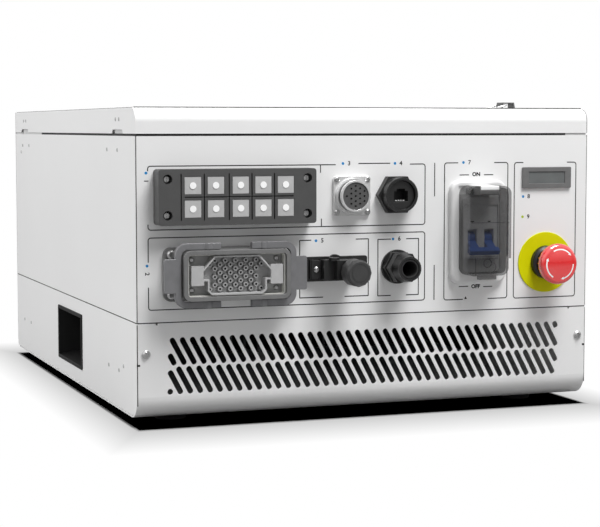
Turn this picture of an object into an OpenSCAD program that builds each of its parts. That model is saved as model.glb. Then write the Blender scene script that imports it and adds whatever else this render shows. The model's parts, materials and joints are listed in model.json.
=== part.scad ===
// Robot controller cabinet: a sheet-metal case with a connector panel, an air grille and a lid.
// X runs to the right along the front panel, Y to the back and Z up from the floor.

/* [Cabinet] */
// Width over the side panels
body_w = 466; // [458:1:520]
// Depth from the front panel to the rear panel
body_d = 586; // [560:1:640]
// Height of the lower section, which carries the air grille
base_h = 90; // [90:1:110]
// Height of the upper section, which carries the front panel
upper_h = 172; // [168:1:220]
// Height of the lid
lid_h = 24; // [21:1:32]
// Gap between lid and upper section, taken up by the gasket
lid_gap = 2.2; // [1.8:0.1:4]
// Height of the rubber feet
foot_h = 9; // [7:0.5:14]
// Thickness of the painted sheet metal
sheet = 1.5; // [1.2:0.1:2]
// Outer radius of the rolled lower edge of the grille
roll_r = 21; // [14:1:22]
// Outer radius of the rolled lower edge of the rear panel
rear_roll_r = 10; // [6:1:10]
// Radius of the front edge of the lid
lid_front_r = 13; // [8:1:16]

/* [Grille] */
// Width of one slanted air slot
slot_w = 5.5; // [3:0.1:6]
// Distance from slot to slot along the grille
slot_pitch = 9.71; // [9:0.01:14]
// Angle of the slots from upright
slot_angle = 27.9; // [15:0.1:40]
// Height of one row between the centres of its round ends
slot_row_h = 20.6; // [14:0.2:21]

/* [Handles] */
// Length of the handle cup along the side
handle_w = 112; // [90:1:130]
// Height of the handle cup
handle_h = 54; // [42:1:56]
// Depth of the handle recess
handle_depth = 30; // [22:1:40]

/* [Ports] */
// Width of the signal cable entry plate
cable_w = 153; // [150:1:158]
// How far the cable entry plate stands out
cable_d = 18; // [14:0.5:22]
// Length of the axis port housing over its rim
axis_w = 103; // [96:1:110]
// Height of the axis port housing over its rim
axis_h = 46.5; // [44:0.5:48]
// How far the axis port housing stands out
axis_d = 29; // [27:0.5:34]
// Bore of the mains gland that the cable passes through
gland_bore = 15; // [10:0.5:16]
// How far the breaker cover stands out
cover_d = 32; // [30:0.5:38]
// Diameter of the emergency stop head
estop_head_d = 40; // [34:1:44]

/* [Hidden] */
$fn = 48;

// Clearances and overruns
over = 1;         // how far a cut runs past the face it opens
fit = 0.2;        // gap between panels that meet
play = 0.4;       // gap round a piece that moves
bore_play = 0.05; // radial gap of a shaft that runs in a bore
seam = 0.8;       // visible joint between panels

// Finishes
paint = "gainsboro";
dark = "dimgray";
black = [0.13, 0.13, 0.13];
steel = "silver";
grey = [0.45, 0.45, 0.45];

// Levels
base_z = foot_h;
seam_z = base_z + base_h;
top_z = seam_z + upper_h;
lid_z = top_z + lid_gap;
flange_w = 12;    // width of the folded edges
side_flange_w = 18; // width of the folded edges that take screws

// Screws
m4_r = 2;
m4_head_r = 4;
m4_head_h = 2.6;
m4_length = 9;
m3_r = 1.5;
m3_head_r = 2.7;
m3_head_h = 1.9;
m3_length = 6;
screw_gap = 0.2;  // radial gap between a screw and its hole
rivet_r = 1.8;
rivet_head_h = 0.5;

// Feet
foot_r = 15;
foot_top_r = 17;
foot_inset_x = 48;
foot_inset_y = 60;
foot_recess_r = 6;
foot_recess_share = 0.55;

// Spaces between the panel's ports, as shares of the width that the ports leave free in their row.
// Upper row: left edge, entry plate, pendant port, data port, breaker, stop button, right edge
cable_gap_share = 0.1447;
pendant_gap_share = 0.2018;
data_gap_share = 0.0571;
power_gap_share = 0.3191;
stop_gap_share = 0.1378;
// Lower row, up to the breaker: left edge, axis port, signal port, mains gland
axis_gap_share = 0.2545;
signal_gap_share = 0.0527;
gland_gap_share = 0.2005;

// Signal cable entry plate
cable_h = 51.5;
cable_z = 116.2;
cable_r = 3;
cable_hole_inset = 8.7;
cable_hole_z = 16.6;
cable_sink_r = 4.4;
cable_sink_d = 7;
grommet_side = 15.8;
grommet_pitch_x = 22;
grommet_pitch_z = 21.4;
grommet_split = 2;      // extra distance between the second and third column
grommet_shift = 2.1;    // the third column stands this far right of the middle
grommet_dot_r = 3.1;
grommet_dot_h = 0.4;
groove_w = 1.1;
groove_d = 2.5;
groove_gap = 2.6;
groove_cross_w = 1.2;

// Axis port
axis_z = 44.6;
axis_r = 7;
axis_wall = 4;
axis_flange_w = 128;
axis_flange_h = 50;
axis_flange_d = 4;
axis_hole_x = 57;
axis_hole_z = 18.6;
insert_base_d = 16;     // face of the insert, measured from the panel
insert_gap = 0.5;
insert_tail_w = 86;
insert_tail_h = 32;
insert_tail_d = 14;
insert_screw_x = 41.1;
insert_screw_z = 13.9;
ear_w = 12;
ear_h = 18;
ear_reach = 44.2;
shroud_d = 27;
shroud_half_w = 34.2;
shroud_low_half_w = 28.5;
shroud_half_h = 18.1;
shroud_top_half_w = 21.9;
shroud_shoulder_z = 4;
shroud_step_z = -5;
shroud_corner = 4;
shroud_wall = 1.5;
contact_pitch_x = 5;
contact_pitch_z = 3.75;
contact_r = 2.2;
contact_bore_r = 1.1;
contact_h = 5;
lever_pin_x = 27;
lever_pin_z = 21.5;
lever_pin_r = 2.5;
lever_arm_w = 6;
lever_arm_d = 6;
lever_tip = 12;
lever_bar = 5.5;
lever_r = 11;
lever_grip_w = 16;
lever_grip_h = 31.5;
lever_grip_d = 3.5;
lever_grip_r = 2;
lever_boss_r = 4.6;
lever_side_gap = 0.6;
seal_w = 1.6;
seal_thin = 0.8;
seal_d = 7;
seal_place = 18;

// Teach pendant port
pendant_z = 114.8;
pendant_flange = 37.5;
pendant_flange_d = 3;
pendant_flange_r = 3;
pendant_hole = 15.7;
pendant_r = 15;
pendant_collar_r = 17;
pendant_neck_r = 14.6;
pendant_d = 13.4;
pendant_collar_d = 6.5;
pendant_ring_d = 9.2;
pendant_bore_r = 13.2;
pendant_face_d = 12.3;
pendant_tail_d = 14;
pendant_tail_r = 12;
pin_pitch_x = 4.5;
pin_pitch_z = 4.8;
pin_hole_r = 0.95;
pin_hole_d = 5;

// Data port
data_z = 115.4;
data_af = 35;
data_nut_d = 8;
data_ring_r = 16.6;
data_d = 18;
data_recess_r = 14;
data_face_d = 15;
data_thread_r = 11;
data_tail_d = 22;
jack_w = 14.2;
jack_h = 10;
jack_depth = 15;
jack_key_w = 8.5;
jack_key_h = 2.6;

// Signal port
signal_z = 45.7;
signal_flange_w = 65;
signal_flange_h = 23.5;
signal_flange_d = 3.5;
signal_flange_r = 2;
signal_bump_r = 7;
signal_bump_up = 6.6;
signal_block_w = 33;
signal_block_h = 19;
signal_block_d = 25;
signal_step_w = 10;
signal_step_d = 16;
signal_rib_w = 1.4;
signal_rib_pitch = 2.8;
signal_clamp_w = 10;
signal_clamp_d = 8.5;
signal_clamp_h = 17;
signal_lug_h = 3;
signal_axis_x = 8.8;
signal_axis_z = -1.8;
signal_neck_r = 8.5;
signal_neck_d = 30;
signal_cap_r = 13;
signal_cap_start = 28;
signal_cap_d = 41;
signal_face_r = 10.8;
signal_face_d = 45;
cap_line_d = 0.4;
cap_line_shares = [0.82, 0.72];
signal_bore_r = 6;

// Mains gland
gland_z = 45.6;
gland_ring_r = 16.5;
gland_ring_d = 3;
gland_hex_af = 28;
gland_hex_d = 9;
gland_thread_r = 12.4;
gland_tail_d = 12;
gland_neck_r = 10.8;
gland_neck_d = 24;
gland_nut_start = 12;
gland_nut_af = 27;
gland_nut_hex_d = 21;
gland_dome_r = 11.7;
gland_d = 33;
gland_wall = 1.6;
locknut_d = 5;
locknut_af = 32;

// Breaker unit, measured from its middle
breaker_z = 77.6;
surround_w = 60.4;
surround_h = 101.4;
surround_r = 11;
surround_rim = 4.8;     // the rim that a rounded edge would take, kept free
surround_base_d = 7.2;
surround_rise_d = 11;
surround_frame_w = 39;
surround_frame_top = 34;
surround_frame_low = -38.6;
surround_frame_r = 4;
pole_w = 18;
poles = 2;
nose_h = 52;
nose_z = 0.6;
nose_d = 10;
breaker_body_h = 82;
breaker_body_d = 48;
cover_w = 44.5;
cover_top = 45.8;
cover_low = -41.6;
cover_step_z = -24.5;
cover_step_d = 5;
cover_wall = 2;
cover_r = 8;
cover_notch_h = 3.5;
cover_notch_w = 21;
cover_back = 7.6;
cover_tab_w = 18;
cover_tab_h = 3.6;
cover_boss_r = 5;
cover_boss_d = 1.6;
cover_boss_x = 3;
hinge_w = 21.6;
hinge_up = 41.4;
hinge_out = 13;
hinge_r = 4.2;
hinge_pin_r = 1.5;
hinge_pin_l = 5;
toggle_z = -6.5;
toggle_out = 1;
toggle_drum_r = 7;
toggle_drum_w = 9;
toggle_reach = 23;
toggle_finger_w = 8.6;
toggle_finger_d = 5;
toggle_bar_w = 32;
toggle_bar_h = 6;
toggle_rest_angle = 35;

// Display
display_z = 130.1;
display_x_shift = 0.3;
display_w = 54;
display_h = 20.8;
display_d = 2.6;
display_r = 1;
display_view_w = 40;
display_view_h = 11.6;
display_sink = 0.9;
display_body_w = 50;
display_body_h = 17.4;
display_body_d = 18;
window_d = 1.5;

// Emergency stop
stop_z = 45.7;
disc_r = 30;
disc_d = 1.2;
collar_r = 16.6;
collar_d = 9;
collar_bevel = 2.5;
barrel_r = 11;
barrel_d = 12;
stem_r = 7.5;
stem_back = 10;
stem_travel = 5;
skirt_r = 15;
skirt_start = 15;
skirt_d = 24;
skirt_flare = 2;
skirt_rib_w = 1.4;
skirt_rib_h = 0.8;
head_edge_d = 28;
head_round = 4.5;
head_d = 33;
head_socket_d = 27;
block_w = 30;
block_h = 40;
block_d = 36;

// Lashing rings on the lid
ring_from_right = 57;
ring_from_end = 68;
strap_w = 16;
strap_l = 12;
strap_h = 7;
strap_t = 1.2;
strap_foot = 6;
ring_rod_r = 1;
ring_l = 22;
ring_reach = 13;
ring_bend_r = 3;
ring_shift = 3.5;       // the pivot stands this far left of the middle of the strap

// Handle cups
handle_from_front = 284;
handle_down = 44;
cup_rim = 2.2;
cup_rim_d = 1.2;
cup_wall = 1.6;
cup_slope = 4;

// Lid brackets: pairs of rivets, measured from the front and from the rear edge
bracket_front = 68;
bracket_rear = 60;
notch_l = 43;
notch_h = 3.8;
notch_slant = 3;
bracket_l = 34;
bracket_h = 30;
rivet_up = 10.5;
rivet_down = 13.3;
rivet_pair = 13.2;
rivet_front_near = 69;
rivet_front_far = 110;
rivet_rear_near = 46;
rivet_rear_far = 85;
rivet_base_down = 52;
rivet_extra_front = 51;
rivet_extra_down = 46;
rivet_extra_rear = 36;
rivet_extra_top = 21.3;
shim_front_l = 24;
shim_rear_l = 156;
gasket_w = 8;

// Fans
fan_size = 80;
fan_d = 25;
fan_bore_r = 38;
fan_x = 100;
fan_gap = 1;
fan_r = 4;
fan_spoke_w = 3;
fan_shaft_r = 2;
hub_r = 17;
hub_d = 20;
blade_count = 7;
blade_t = 1.6;
blade_w = 19;
blade_tilt = 38;
guard_slot_w = 5;
guard_pitch = 9;
guard_count = 8;

// Pieces inside
drive_l = 300;
drive_h = 120;
drive_from_left = 36;
drive_from_front = 150;
sink_w = 220;
sink_l = 240;
sink_base = 6;
sink_h = 52;
sink_fins = 16;
sink_fin_t = 2.2;
supply_w = 62;
supply_h = 115;
supply_from_right = 24;
supply_from_front = 300;
supply_from_rear = 86;
supply_gap = 14;
vent_w = 4;
board_w = 78;
board_l = 180;
board_t = 1.6;
board_gap = 2;
board_from_front = 280;
standoff_h = 12;
standoff_r = 3;
standoff_inset = 6;
filter_w = 54;
filter_l = 120;
filter_h = 40;
filter_from_right = 30;
filter_from_front = 150;
filter_stud_r = 3;
filter_stud_l = 8;

// The origin stands under the middle of the whole outline, so the reach of the front fittings counts
front_reach = max(signal_face_d, gland_d, head_d, cover_d + cover_boss_d, axis_d, cable_d);
rear_reach = m4_head_h;
front_y = (front_reach - body_d - rear_reach) / 2;
rear_y = front_y + body_d;
left_x = -body_w / 2;
right_x = body_w / 2;
data_reach = data_af / sqrt(3);
lever_half = axis_h / 2 + lever_side_gap;
hinge_clear = sqrt(pow(axis_w / 2 - lever_pin_x, 2) + pow(axis_d - lever_pin_z, 2)) + play;
lever_end = lever_pin_x + hinge_clear;
axis_reach = lever_end + lever_grip_w;
free_w = body_w - cable_w - pendant_flange - 2 * data_reach - surround_w - 2 * disc_r;
cable_x = free_w * cable_gap_share + cable_w / 2;
pendant_x = cable_x + cable_w / 2 + free_w * pendant_gap_share + pendant_flange / 2;
data_x = pendant_x + pendant_flange / 2 + free_w * data_gap_share + data_reach;
power_x = data_x + data_reach + free_w * power_gap_share + surround_w / 2;
stop_x = power_x + surround_w / 2 + free_w * stop_gap_share + disc_r;
low_free_w = power_x - surround_w / 2 - 2 * axis_reach - signal_flange_w - 2 * gland_ring_r;
axis_x = low_free_w * axis_gap_share + axis_reach;
signal_x = axis_x + axis_reach + low_free_w * signal_gap_share + signal_flange_w / 2;
gland_x = signal_x + signal_flange_w / 2 + low_free_w * gland_gap_share + gland_ring_r;
cable_hole_x = cable_w / 2 - cable_hole_inset;
display_x = stop_x + display_x_shift;
lid_top = lid_z + lid_h;
handle_y = front_y + handle_from_front;
handle_z = seam_z - handle_down;
side_start = front_y + sheet + seam / 2;
side_end = rear_y - sheet - seam / 2;

// Places a shape on the front panel: x from the left edge, z from the seam, out of the panel along local Z
module on_front(x, z) translate([left_x + x, front_y, seam_z + z]) rotate([90, 0, 0]) children();
// Places a shape on the rear panel in the same way, looking out of the rear
module on_rear(x, z) translate([x, rear_y, z]) rotate([-90, 0, 0]) children();
// Extrudes a profile drawn in Y and Z along X
module along_x(width) rotate([90, 0, 90]) linear_extrude(height = width) children();
module block(size_x, size_y, size_z, from = 0)
    translate([-size_x / 2, -size_y / 2, from]) cube([size_x, size_y, size_z]);
module rod(radius, length, from = 0) translate([0, 0, from]) cylinder(r = radius, h = length);
module hex(across, length, from = 0)
    translate([0, 0, from]) cylinder(r = across / sqrt(3), h = length, $fn = 6);
module both_sides() { children(); mirror([1, 0, 0]) children(); }
module four_corners(x, y) {
    for (i = [-1, 1], j = [-1, 1]) translate([i * x, j * y, 0]) children();
}

// Rectangle with round corners, centred
module round_rect(w, h, r) {
    square([w - 2 * r, h], center = true);
    square([w, h - 2 * r], center = true);
    for (i = [-1, 1], j = [-1, 1]) translate([i * (w / 2 - r), j * (h / 2 - r)]) circle(r = r);
}
module round_block(w, h, d, r, from = 0) translate([0, 0, from]) linear_extrude(height = d) round_rect(w, h, r);

// Pan head screw with a cross recess; the head sits on z = 0 and the shank runs to negative z
module pan_screw(r, head_r, head_h, length) {
    recess_w = head_r * 0.28;
    recess_l = head_r * 1.2;
    difference() {
        union() {
            rod(head_r, head_h / 2);
            translate([0, 0, head_h / 2]) cylinder(r1 = head_r, r2 = head_r * 0.62, h = head_h / 2);
            rod(r, length, -length);
        }
        block(recess_l, recess_w, head_h, head_h / 2);
        block(recess_w, recess_l, head_h, head_h / 2);
    }
}
module m4_screw() pan_screw(m4_r, m4_head_r, m4_head_h, m4_length);
module m3_screw() pan_screw(m3_r, m3_head_r, m3_head_h, m3_length);
module screw_hole(r, depth) rod(r + screw_gap, depth + 2 * over, -depth - over);

// Places of the screws, each as [x, z, height of the seat above the panel]
grille_screw_x = 8.5;
grille_screw_z = -29;
module at_m4_front() {
    for (i = [-1, 1]) on_front(body_w / 2 + i * (body_w / 2 - grille_screw_x), grille_screw_z) children();
    for (i = [-1, 1], j = [-1, 1]) {
        on_front(axis_x + i * axis_hole_x, axis_z + j * axis_hole_z) translate([0, 0, axis_flange_d]) children();
        on_front(cable_x + i * cable_hole_x, cable_z + j * cable_hole_z)
            translate([0, 0, cable_d - cable_sink_d]) children();
    }
}
rear_screw_x = 12;
rear_screw_rows_shares = [0.1, 0.5, 0.9];
module at_m4_rear() {
    for (i = [-1, 1], s = rear_screw_rows_shares)
        on_rear(i * (body_w / 2 - rear_screw_x), base_z + s * (top_z - base_z)) children();
}
module at_feet() {
    for (i = [-1, 1], y = [front_y + foot_inset_y, rear_y - foot_inset_y])
        translate([i * (body_w / 2 - foot_inset_x), y, 0]) children();
}
module panel_screws_m4() color(steel) {
    at_m4_front() m4_screw();
    at_m4_rear() m4_screw();
    at_feet() translate([0, 0, foot_h * foot_recess_share]) mirror([0, 0, 1]) m4_screw();
}
module at_m3() {
    on_front(pendant_x, pendant_z) translate([0, 0, pendant_flange_d])
        four_corners(pendant_hole, pendant_hole) children();
    on_front(axis_x, axis_z) translate([0, 0, insert_base_d])
        four_corners(insert_screw_x, insert_screw_z) children();
    on_front(signal_x - signal_block_w / 2 - signal_clamp_w / 2, signal_z)
        translate([0, 0, signal_clamp_d]) children();
}
module panel_screws_m3() color(steel) at_m3() m3_screw();

// Lower section: its side plates stand on the floor, behind the rolled edges of grille and rear panel
floor_x = left_x + sheet + fit;
base_low = base_z + sheet + seam / 2;
base_top = seam_z - seam / 2;
module base_side() difference() {
    rf = roll_r - sheet - seam / 2;
    rr = rear_roll_r - sheet - seam / 2;
    union() {
        translate([left_x, 0, 0]) along_x(sheet) {
            translate([side_start + rf, base_low]) square([side_end - side_start - rf - rr, base_top - base_low]);
            translate([side_start, base_low + rf]) square([rf, base_top - base_low - rf]);
            translate([side_end - rr, base_low + rr]) square([rr, base_top - base_low - rr]);
            translate([side_start + rf, base_low + rf]) circle(r = rf);
            translate([side_end - rr, base_low + rr]) circle(r = rr);
        }
        translate([left_x, side_start, base_z + roll_r])
            cube([side_flange_w, sheet, base_h - roll_r - 2 * sheet - seam]);
        translate([left_x, side_end - sheet, base_z + rear_roll_r])
            cube([side_flange_w, sheet, base_h - rear_roll_r - seam / 2]);
    }
    on_left(handle_y, handle_z)
        block(handle_h + 2 * fit, handle_w + 2 * fit, 2 * sheet + 2 * over, -2 * sheet - over);
    at_side_rivets_base() rod(rivet_r + screw_gap, 2 * sheet + 2 * over, -sheet - over);
    at_m4_front() screw_hole(m4_r, m4_length);
    at_m4_rear() screw_hole(m4_r, m4_length);
}
module base_side_left() color(paint) base_side();
module base_side_right() color(paint) mirror([1, 0, 0]) base_side();

grille_lip = 26;
rear_lip = 20;
module base_floor() color(paint) difference() {
    start = front_y + roll_r + grille_lip;
    length = body_d - roll_r - grille_lip - rear_roll_r - rear_lip;
    union() {
        translate([left_x, start, base_z]) cube([body_w, length, sheet]);
        both_sides() translate([floor_x, start, base_z]) cube([sheet, length, flange_w]);
    }
    at_feet() rod(m4_r + screw_gap, base_z + flange_w);
}

// Grille profile: front face, rolled lower edge, floor lip and folded top edge, in Y and Z from the outer corner
module grille_profile() {
    translate([0, roll_r]) square([sheet, base_h - roll_r - seam / 2]);
    intersection() {
        translate([roll_r, roll_r]) difference() {
            circle(r = roll_r);
            circle(r = roll_r - sheet);
        }
        square([roll_r, roll_r]);
    }
    translate([roll_r, 0]) square([grille_lip - fit, sheet]);
    translate([0, base_h - seam / 2 - sheet]) square([flange_w, sheet]);
}
window_inset = 32;
window_end = 33.3;      // the window's right edge, from the right side
slot_lead = 1.9;        // the first whole slot starts this far inside the window
slots_before = 6;       // slots that start left of the window and enter it lower down
slot_dot = 1.5;         // a slot cut this short is still made, as a round hole
row_top = 17;
row_gap = 6.6;
row_shift = 6.1;        // the lower row starts this far to the right of the upper row
slant = tan(slot_angle);
// Drop in its row at which a slot line that starts at x enters or leaves the slotted window
function enter_drop(x) = max(0, (window_inset - x) / slant);
function leave_drop(x) = min(slot_row_h, (body_w - window_end - x) / slant);
module slot(x0, z0, x1, z1) {
    length = norm([x1 - x0, z1 - z0]);
    translate([x0, z0]) rotate(atan2(z1 - z0, x1 - x0)) {
        for (end = [0, length]) translate([end, 0]) circle(r = slot_w / 2, $fn = 24);
        if (length > over) translate([0, -slot_w / 2]) square([length, slot_w]);
    }
}
slot_count = ceil((body_w - 2 * window_inset) / slot_pitch);
slot_first = window_inset + slot_lead - slots_before * slot_pitch;
module slot_rows() {
    for (row = [0, 1], k = [0 : slot_count + slots_before]) {
        x = slot_first + k * slot_pitch + row * row_shift;
        z = -row_top - row * (slot_row_h + row_gap);
        b = leave_drop(x);
        a = min(enter_drop(x), slot_row_h);
        if (b > max(0, enter_drop(x) - slot_dot)) slot(x + a * slant, z - a, x + b * slant, z - b);
    }
}
notch_from_edge = 18;
notch_w = 1.8;
edge_notch_down = 40;
edge_notch_w = 2.8;
edge_notch_h = 1.8;
module base_front_grille() color(paint) difference() {
    translate([left_x, front_y, base_z]) along_x(body_w) grille_profile();
    translate([left_x, front_y + sheet + over, seam_z]) rotate([90, 0, 0])
        linear_extrude(height = sheet + 2 * over) slot_rows();
    for (x = [notch_from_edge, body_w - notch_from_edge - notch_w])
        translate([left_x + x, front_y - over, seam_z - seam / 2 - notch_w])
            cube([notch_w, flange_w + 2 * over, notch_w + over]);
    both_sides() translate([left_x - over, front_y + sheet, base_top - flange_w])
        cube([sheet + fit + over, flange_w + over, flange_w + over]);
    both_sides() translate([left_x - over, front_y - over, seam_z - edge_notch_down])
        cube([edge_notch_w + over, sheet + 2 * over, edge_notch_h]);
    at_m4_front() screw_hole(m4_r, m4_length);
}

// Middle shelf between the air bay and the electronics
module mid_shelf() color(paint) difference() {
    start = front_y + sheet + fit;
    length = side_end - sheet - fit - start;
    union() {
        translate([floor_x, start, base_top]) cube([body_w - 2 * (sheet + fit), length, sheet]);
        both_sides() translate([floor_x, start, base_top]) cube([sheet, length, flange_w]);
    }
}

// Upper section
module side_panel() difference() {
    union() {
        translate([left_x, side_start, seam_z + seam / 2])
            cube([sheet, side_end - side_start, upper_h - seam / 2]);
        translate([left_x, side_start + flange_w, top_z - sheet])
            cube([flange_w, side_end - side_start - flange_w, sheet]);
        translate([left_x, side_end - sheet, seam_z + seam / 2])
            cube([side_flange_w, sheet, upper_h - seam / 2]);
    }
    at_side_rivets_body() rod(rivet_r + screw_gap, 2 * sheet + 2 * over, -sheet - over);
    for (y = bracket_places) translate([left_x + sheet, y - bracket_l / 2 - fit, top_z - sheet - over])
        cube([flange_w, bracket_l + 2 * fit, sheet + 2 * over]);
    at_m4_rear() screw_hole(m4_r, m4_length);
}
module side_panel_left() color(paint) side_panel();
module side_panel_right() color(paint) mirror([1, 0, 0]) side_panel();

panel_r = 2.5;
module breaker_window() translate([0, nose_z, 0])
    block(poles * pole_w + 2 * fit, nose_h + 2 * fit, 2 * sheet + 2 * over, -sheet - over);
module front_panel() color(paint) difference() {
    union() {
        on_front(body_w / 2, (upper_h + seam / 2) / 2)
            round_block(body_w, upper_h - seam / 2, sheet, panel_r, -sheet);
        both_sides() translate([floor_x, front_y + sheet, seam_z + 2 * flange_w])
            cube([sheet, flange_w, upper_h - 3 * flange_w]);
        translate([left_x + flange_w, front_y + sheet / 2, top_z - sheet])
            cube([body_w - 2 * flange_w, flange_w, sheet]);
    }
    on_front(cable_x + grommet_shift - grommet_split / 2, cable_z)
        block(cable_open_w, cable_open_h, 3 * sheet, -2 * sheet);
    on_front(axis_x, axis_z)
        block(insert_tail_w + 2 * insert_gap, insert_tail_h + 2 * insert_gap, 3 * sheet, -2 * sheet);
    on_front(pendant_x, pendant_z) rod(pendant_tail_r + fit, 3 * sheet, -2 * sheet);
    on_front(data_x, data_z) rod(data_thread_r + fit, 3 * sheet, -2 * sheet);
    on_front(signal_x, signal_z) block(signal_block_w, signal_block_h, 3 * sheet, -2 * sheet);
    on_front(gland_x, gland_z) rod(gland_thread_r + fit, 3 * sheet, -2 * sheet);
    on_front(power_x, breaker_z) breaker_window();
    on_front(display_x, display_z)
        block(display_body_w + 2 * fit, display_body_h + 2 * fit, 3 * sheet, -2 * sheet);
    on_front(stop_x, stop_z) rod(barrel_r + fit, 3 * sheet, -2 * sheet);
    at_m4_front() screw_hole(m4_r, cable_d + m4_length);
    at_m3() screw_hole(m3_r, insert_base_d + m3_length);
}

module guard_slots() {
    for (i = [0 : guard_count - 1]) {
        x = (i - (guard_count - 1) / 2) * guard_pitch;
        half = sqrt(pow(fan_bore_r - guard_slot_w / 2, 2) - x * x) - guard_slot_w / 2;
        block_h = 2 * half;
        translate([x, 0, -sheet - over]) {
            translate([-guard_slot_w / 2, -half, 0]) cube([guard_slot_w, block_h, sheet + 2 * over]);
            for (j = [-1, 1]) translate([0, j * half, 0]) cylinder(r = guard_slot_w / 2, h = sheet + 2 * over);
        }
    }
}
fan_z = base_top - fit - fan_size / 2;
// Rear profile in Y and Z from the outer lower corner, with Y running forward
module rear_profile() {
    translate([0, rear_roll_r]) square([sheet, top_z - base_z - rear_roll_r]);
    intersection() {
        translate([rear_roll_r, rear_roll_r]) difference() {
            circle(r = rear_roll_r);
            circle(r = rear_roll_r - sheet);
        }
        square([rear_roll_r, rear_roll_r]);
    }
    translate([rear_roll_r, 0]) square([rear_lip - fit, sheet]);
}
module rear_panel() color(paint) difference() {
    translate([left_x, rear_y, base_z]) along_x(body_w) mirror([1, 0]) rear_profile();
    for (i = [-1, 1]) on_rear(i * fan_x, fan_z) guard_slots();
    at_m4_rear() screw_hole(m4_r, m4_length);
}

// Lid: a folded tray turned upside down, with a large front radius and notches for the brackets
lid_rear_r = 5;
module lid_profile(inset) {
    w = body_d - 2 * inset;
    h = lid_h - inset;
    rf = lid_front_r - inset;
    rr = lid_rear_r - inset;
    translate([inset, 0]) {
        square([w, h - rf]);
        translate([rf, 0]) square([w - rf - rr, h]);
        translate([rf, h - rf]) intersection() {
            circle(r = rf);
            translate([-rf, 0]) square(rf);
        }
        translate([w - rr - rf, 0]) square([rf + rr, h - rr]);
        translate([w - rr, h - rr]) circle(r = rr);
    }
}
bracket_places = [front_y + bracket_front, rear_y - bracket_rear];
module lid_notch() translate([-over, 0, 0]) along_x(sheet + 2 * over) polygon([
    [-notch_l / 2, -over], [notch_l / 2, -over], [notch_l / 2, 0], [notch_l / 2 - notch_slant, notch_h],
    [notch_slant - notch_l / 2, notch_h], [-notch_l / 2, 0]
]);
module lid() color(paint) difference() {
    translate([left_x, front_y, lid_z]) along_x(body_w) lid_profile(0);
    translate([left_x + sheet, front_y, lid_z]) along_x(body_w - 2 * sheet) {
        lid_profile(sheet);
        translate([sheet, -over]) square([body_d - 2 * sheet, 2 * over]);
    }
    both_sides() for (y = bracket_places) translate([left_x, y, lid_z]) lid_notch();
    both_sides() at_side_rivets_lid() rod(rivet_r + screw_gap, 2 * sheet + 2 * over, -sheet - over);
    for (y = ring_places) translate([ring_x, y, lid_top])
        for (i = [-1, 1]) translate([i * strap_hole_x, 0, 0]) screw_hole(rivet_r, 2 * sheet);
}
gasket_inset = 1;
gasket_in = gasket_inset + gasket_w;
module lid_gasket() color(black) difference() {
    translate([left_x + gasket_inset, front_y + gasket_inset, top_z])
        cube([body_w - 2 * gasket_inset, body_d - 2 * gasket_inset, lid_gap]);
    translate([left_x + gasket_in, front_y + gasket_in, top_z - over])
        cube([body_w - 2 * gasket_in, body_d - 2 * gasket_in, lid_gap + 2 * over]);
    translate([right_x - shim_front_l, front_y, top_z - over])
        cube([shim_front_l, gasket_in, lid_gap + 2 * over]);
    both_sides() translate([left_x, rear_y - shim_rear_l, top_z - over])
        cube([gasket_in, shim_rear_l, lid_gap + 2 * over]);
    both_sides() for (y = bracket_places)
        translate([left_x + sheet, y - bracket_l / 2 - fit, top_z - over])
            cube([gasket_in, bracket_l + 2 * fit, lid_gap + 2 * over]);
}
// Shims that carry the lid where the gasket stops, and the angle brackets behind the notches
module lid_brackets() color(steel) {
    both_sides() difference() {
        translate([left_x + gasket_inset, rear_y - shim_rear_l + fit, top_z])
            cube([gasket_w, shim_rear_l - gasket_inset - fit, lid_gap]);
        translate([left_x, bracket_places[1] - bracket_l / 2 - fit, top_z - over])
            cube([2 * gasket_in, bracket_l + 2 * fit, lid_gap + 2 * over]);
    }
    translate([right_x - shim_front_l + fit, front_y + gasket_inset, top_z])
        cube([shim_front_l - gasket_inset - fit, gasket_w, lid_gap]);
    both_sides() for (y = bracket_places) difference() {
        translate([left_x + sheet + fit, y - bracket_l / 2, top_z - bracket_h])
            cube([sheet, bracket_l, bracket_h + lid_gap + lid_h - 2 * sheet - fit]);
        at_side_rivets_body() rod(rivet_r + screw_gap, 4 * sheet, -3 * sheet);
        at_side_rivets_lid() rod(rivet_r + screw_gap, 4 * sheet, -3 * sheet);
    }
}

// Rivets of the sides: placed on the left side, with local Z pointing out of the cabinet
module on_left(y, z) translate([left_x, y, z]) rotate([0, -90, 0]) children();
module at_side_rivets_lid() for (y = bracket_places, i = [-1, 1])
    on_left(y + i * rivet_pair / 2, lid_z + lid_h - rivet_up) children();
rivet_places = [front_y + rivet_front_near, front_y + rivet_front_far,
    rear_y - rivet_rear_near, rear_y - rivet_rear_far];
module at_side_rivets_body() {
    for (y = rivet_places) on_left(y, top_z - rivet_down) children();
    on_left(rear_y - rivet_extra_rear, top_z - rivet_extra_top) children();
}
module at_side_rivets_base() {
    for (y = rivet_places) on_left(y, seam_z - rivet_base_down) children();
    on_left(front_y + rivet_extra_front, seam_z - rivet_extra_down) children();
}
module rivet() {
    cylinder(r1 = rivet_r * 1.15, r2 = rivet_r * 0.8, h = rivet_head_h);
    rod(rivet_r, 2 * sheet + fit, -2 * sheet - fit);
}
module side_rivets() color(steel) {
    both_sides() {
        at_side_rivets_lid() rivet();
        at_side_rivets_body() rivet();
        at_side_rivets_base() rivet();
    }
    for (y = ring_places, i = [-1, 1])
        translate([ring_x + i * strap_hole_x, y, lid_top + strap_t]) rivet();
}

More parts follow.
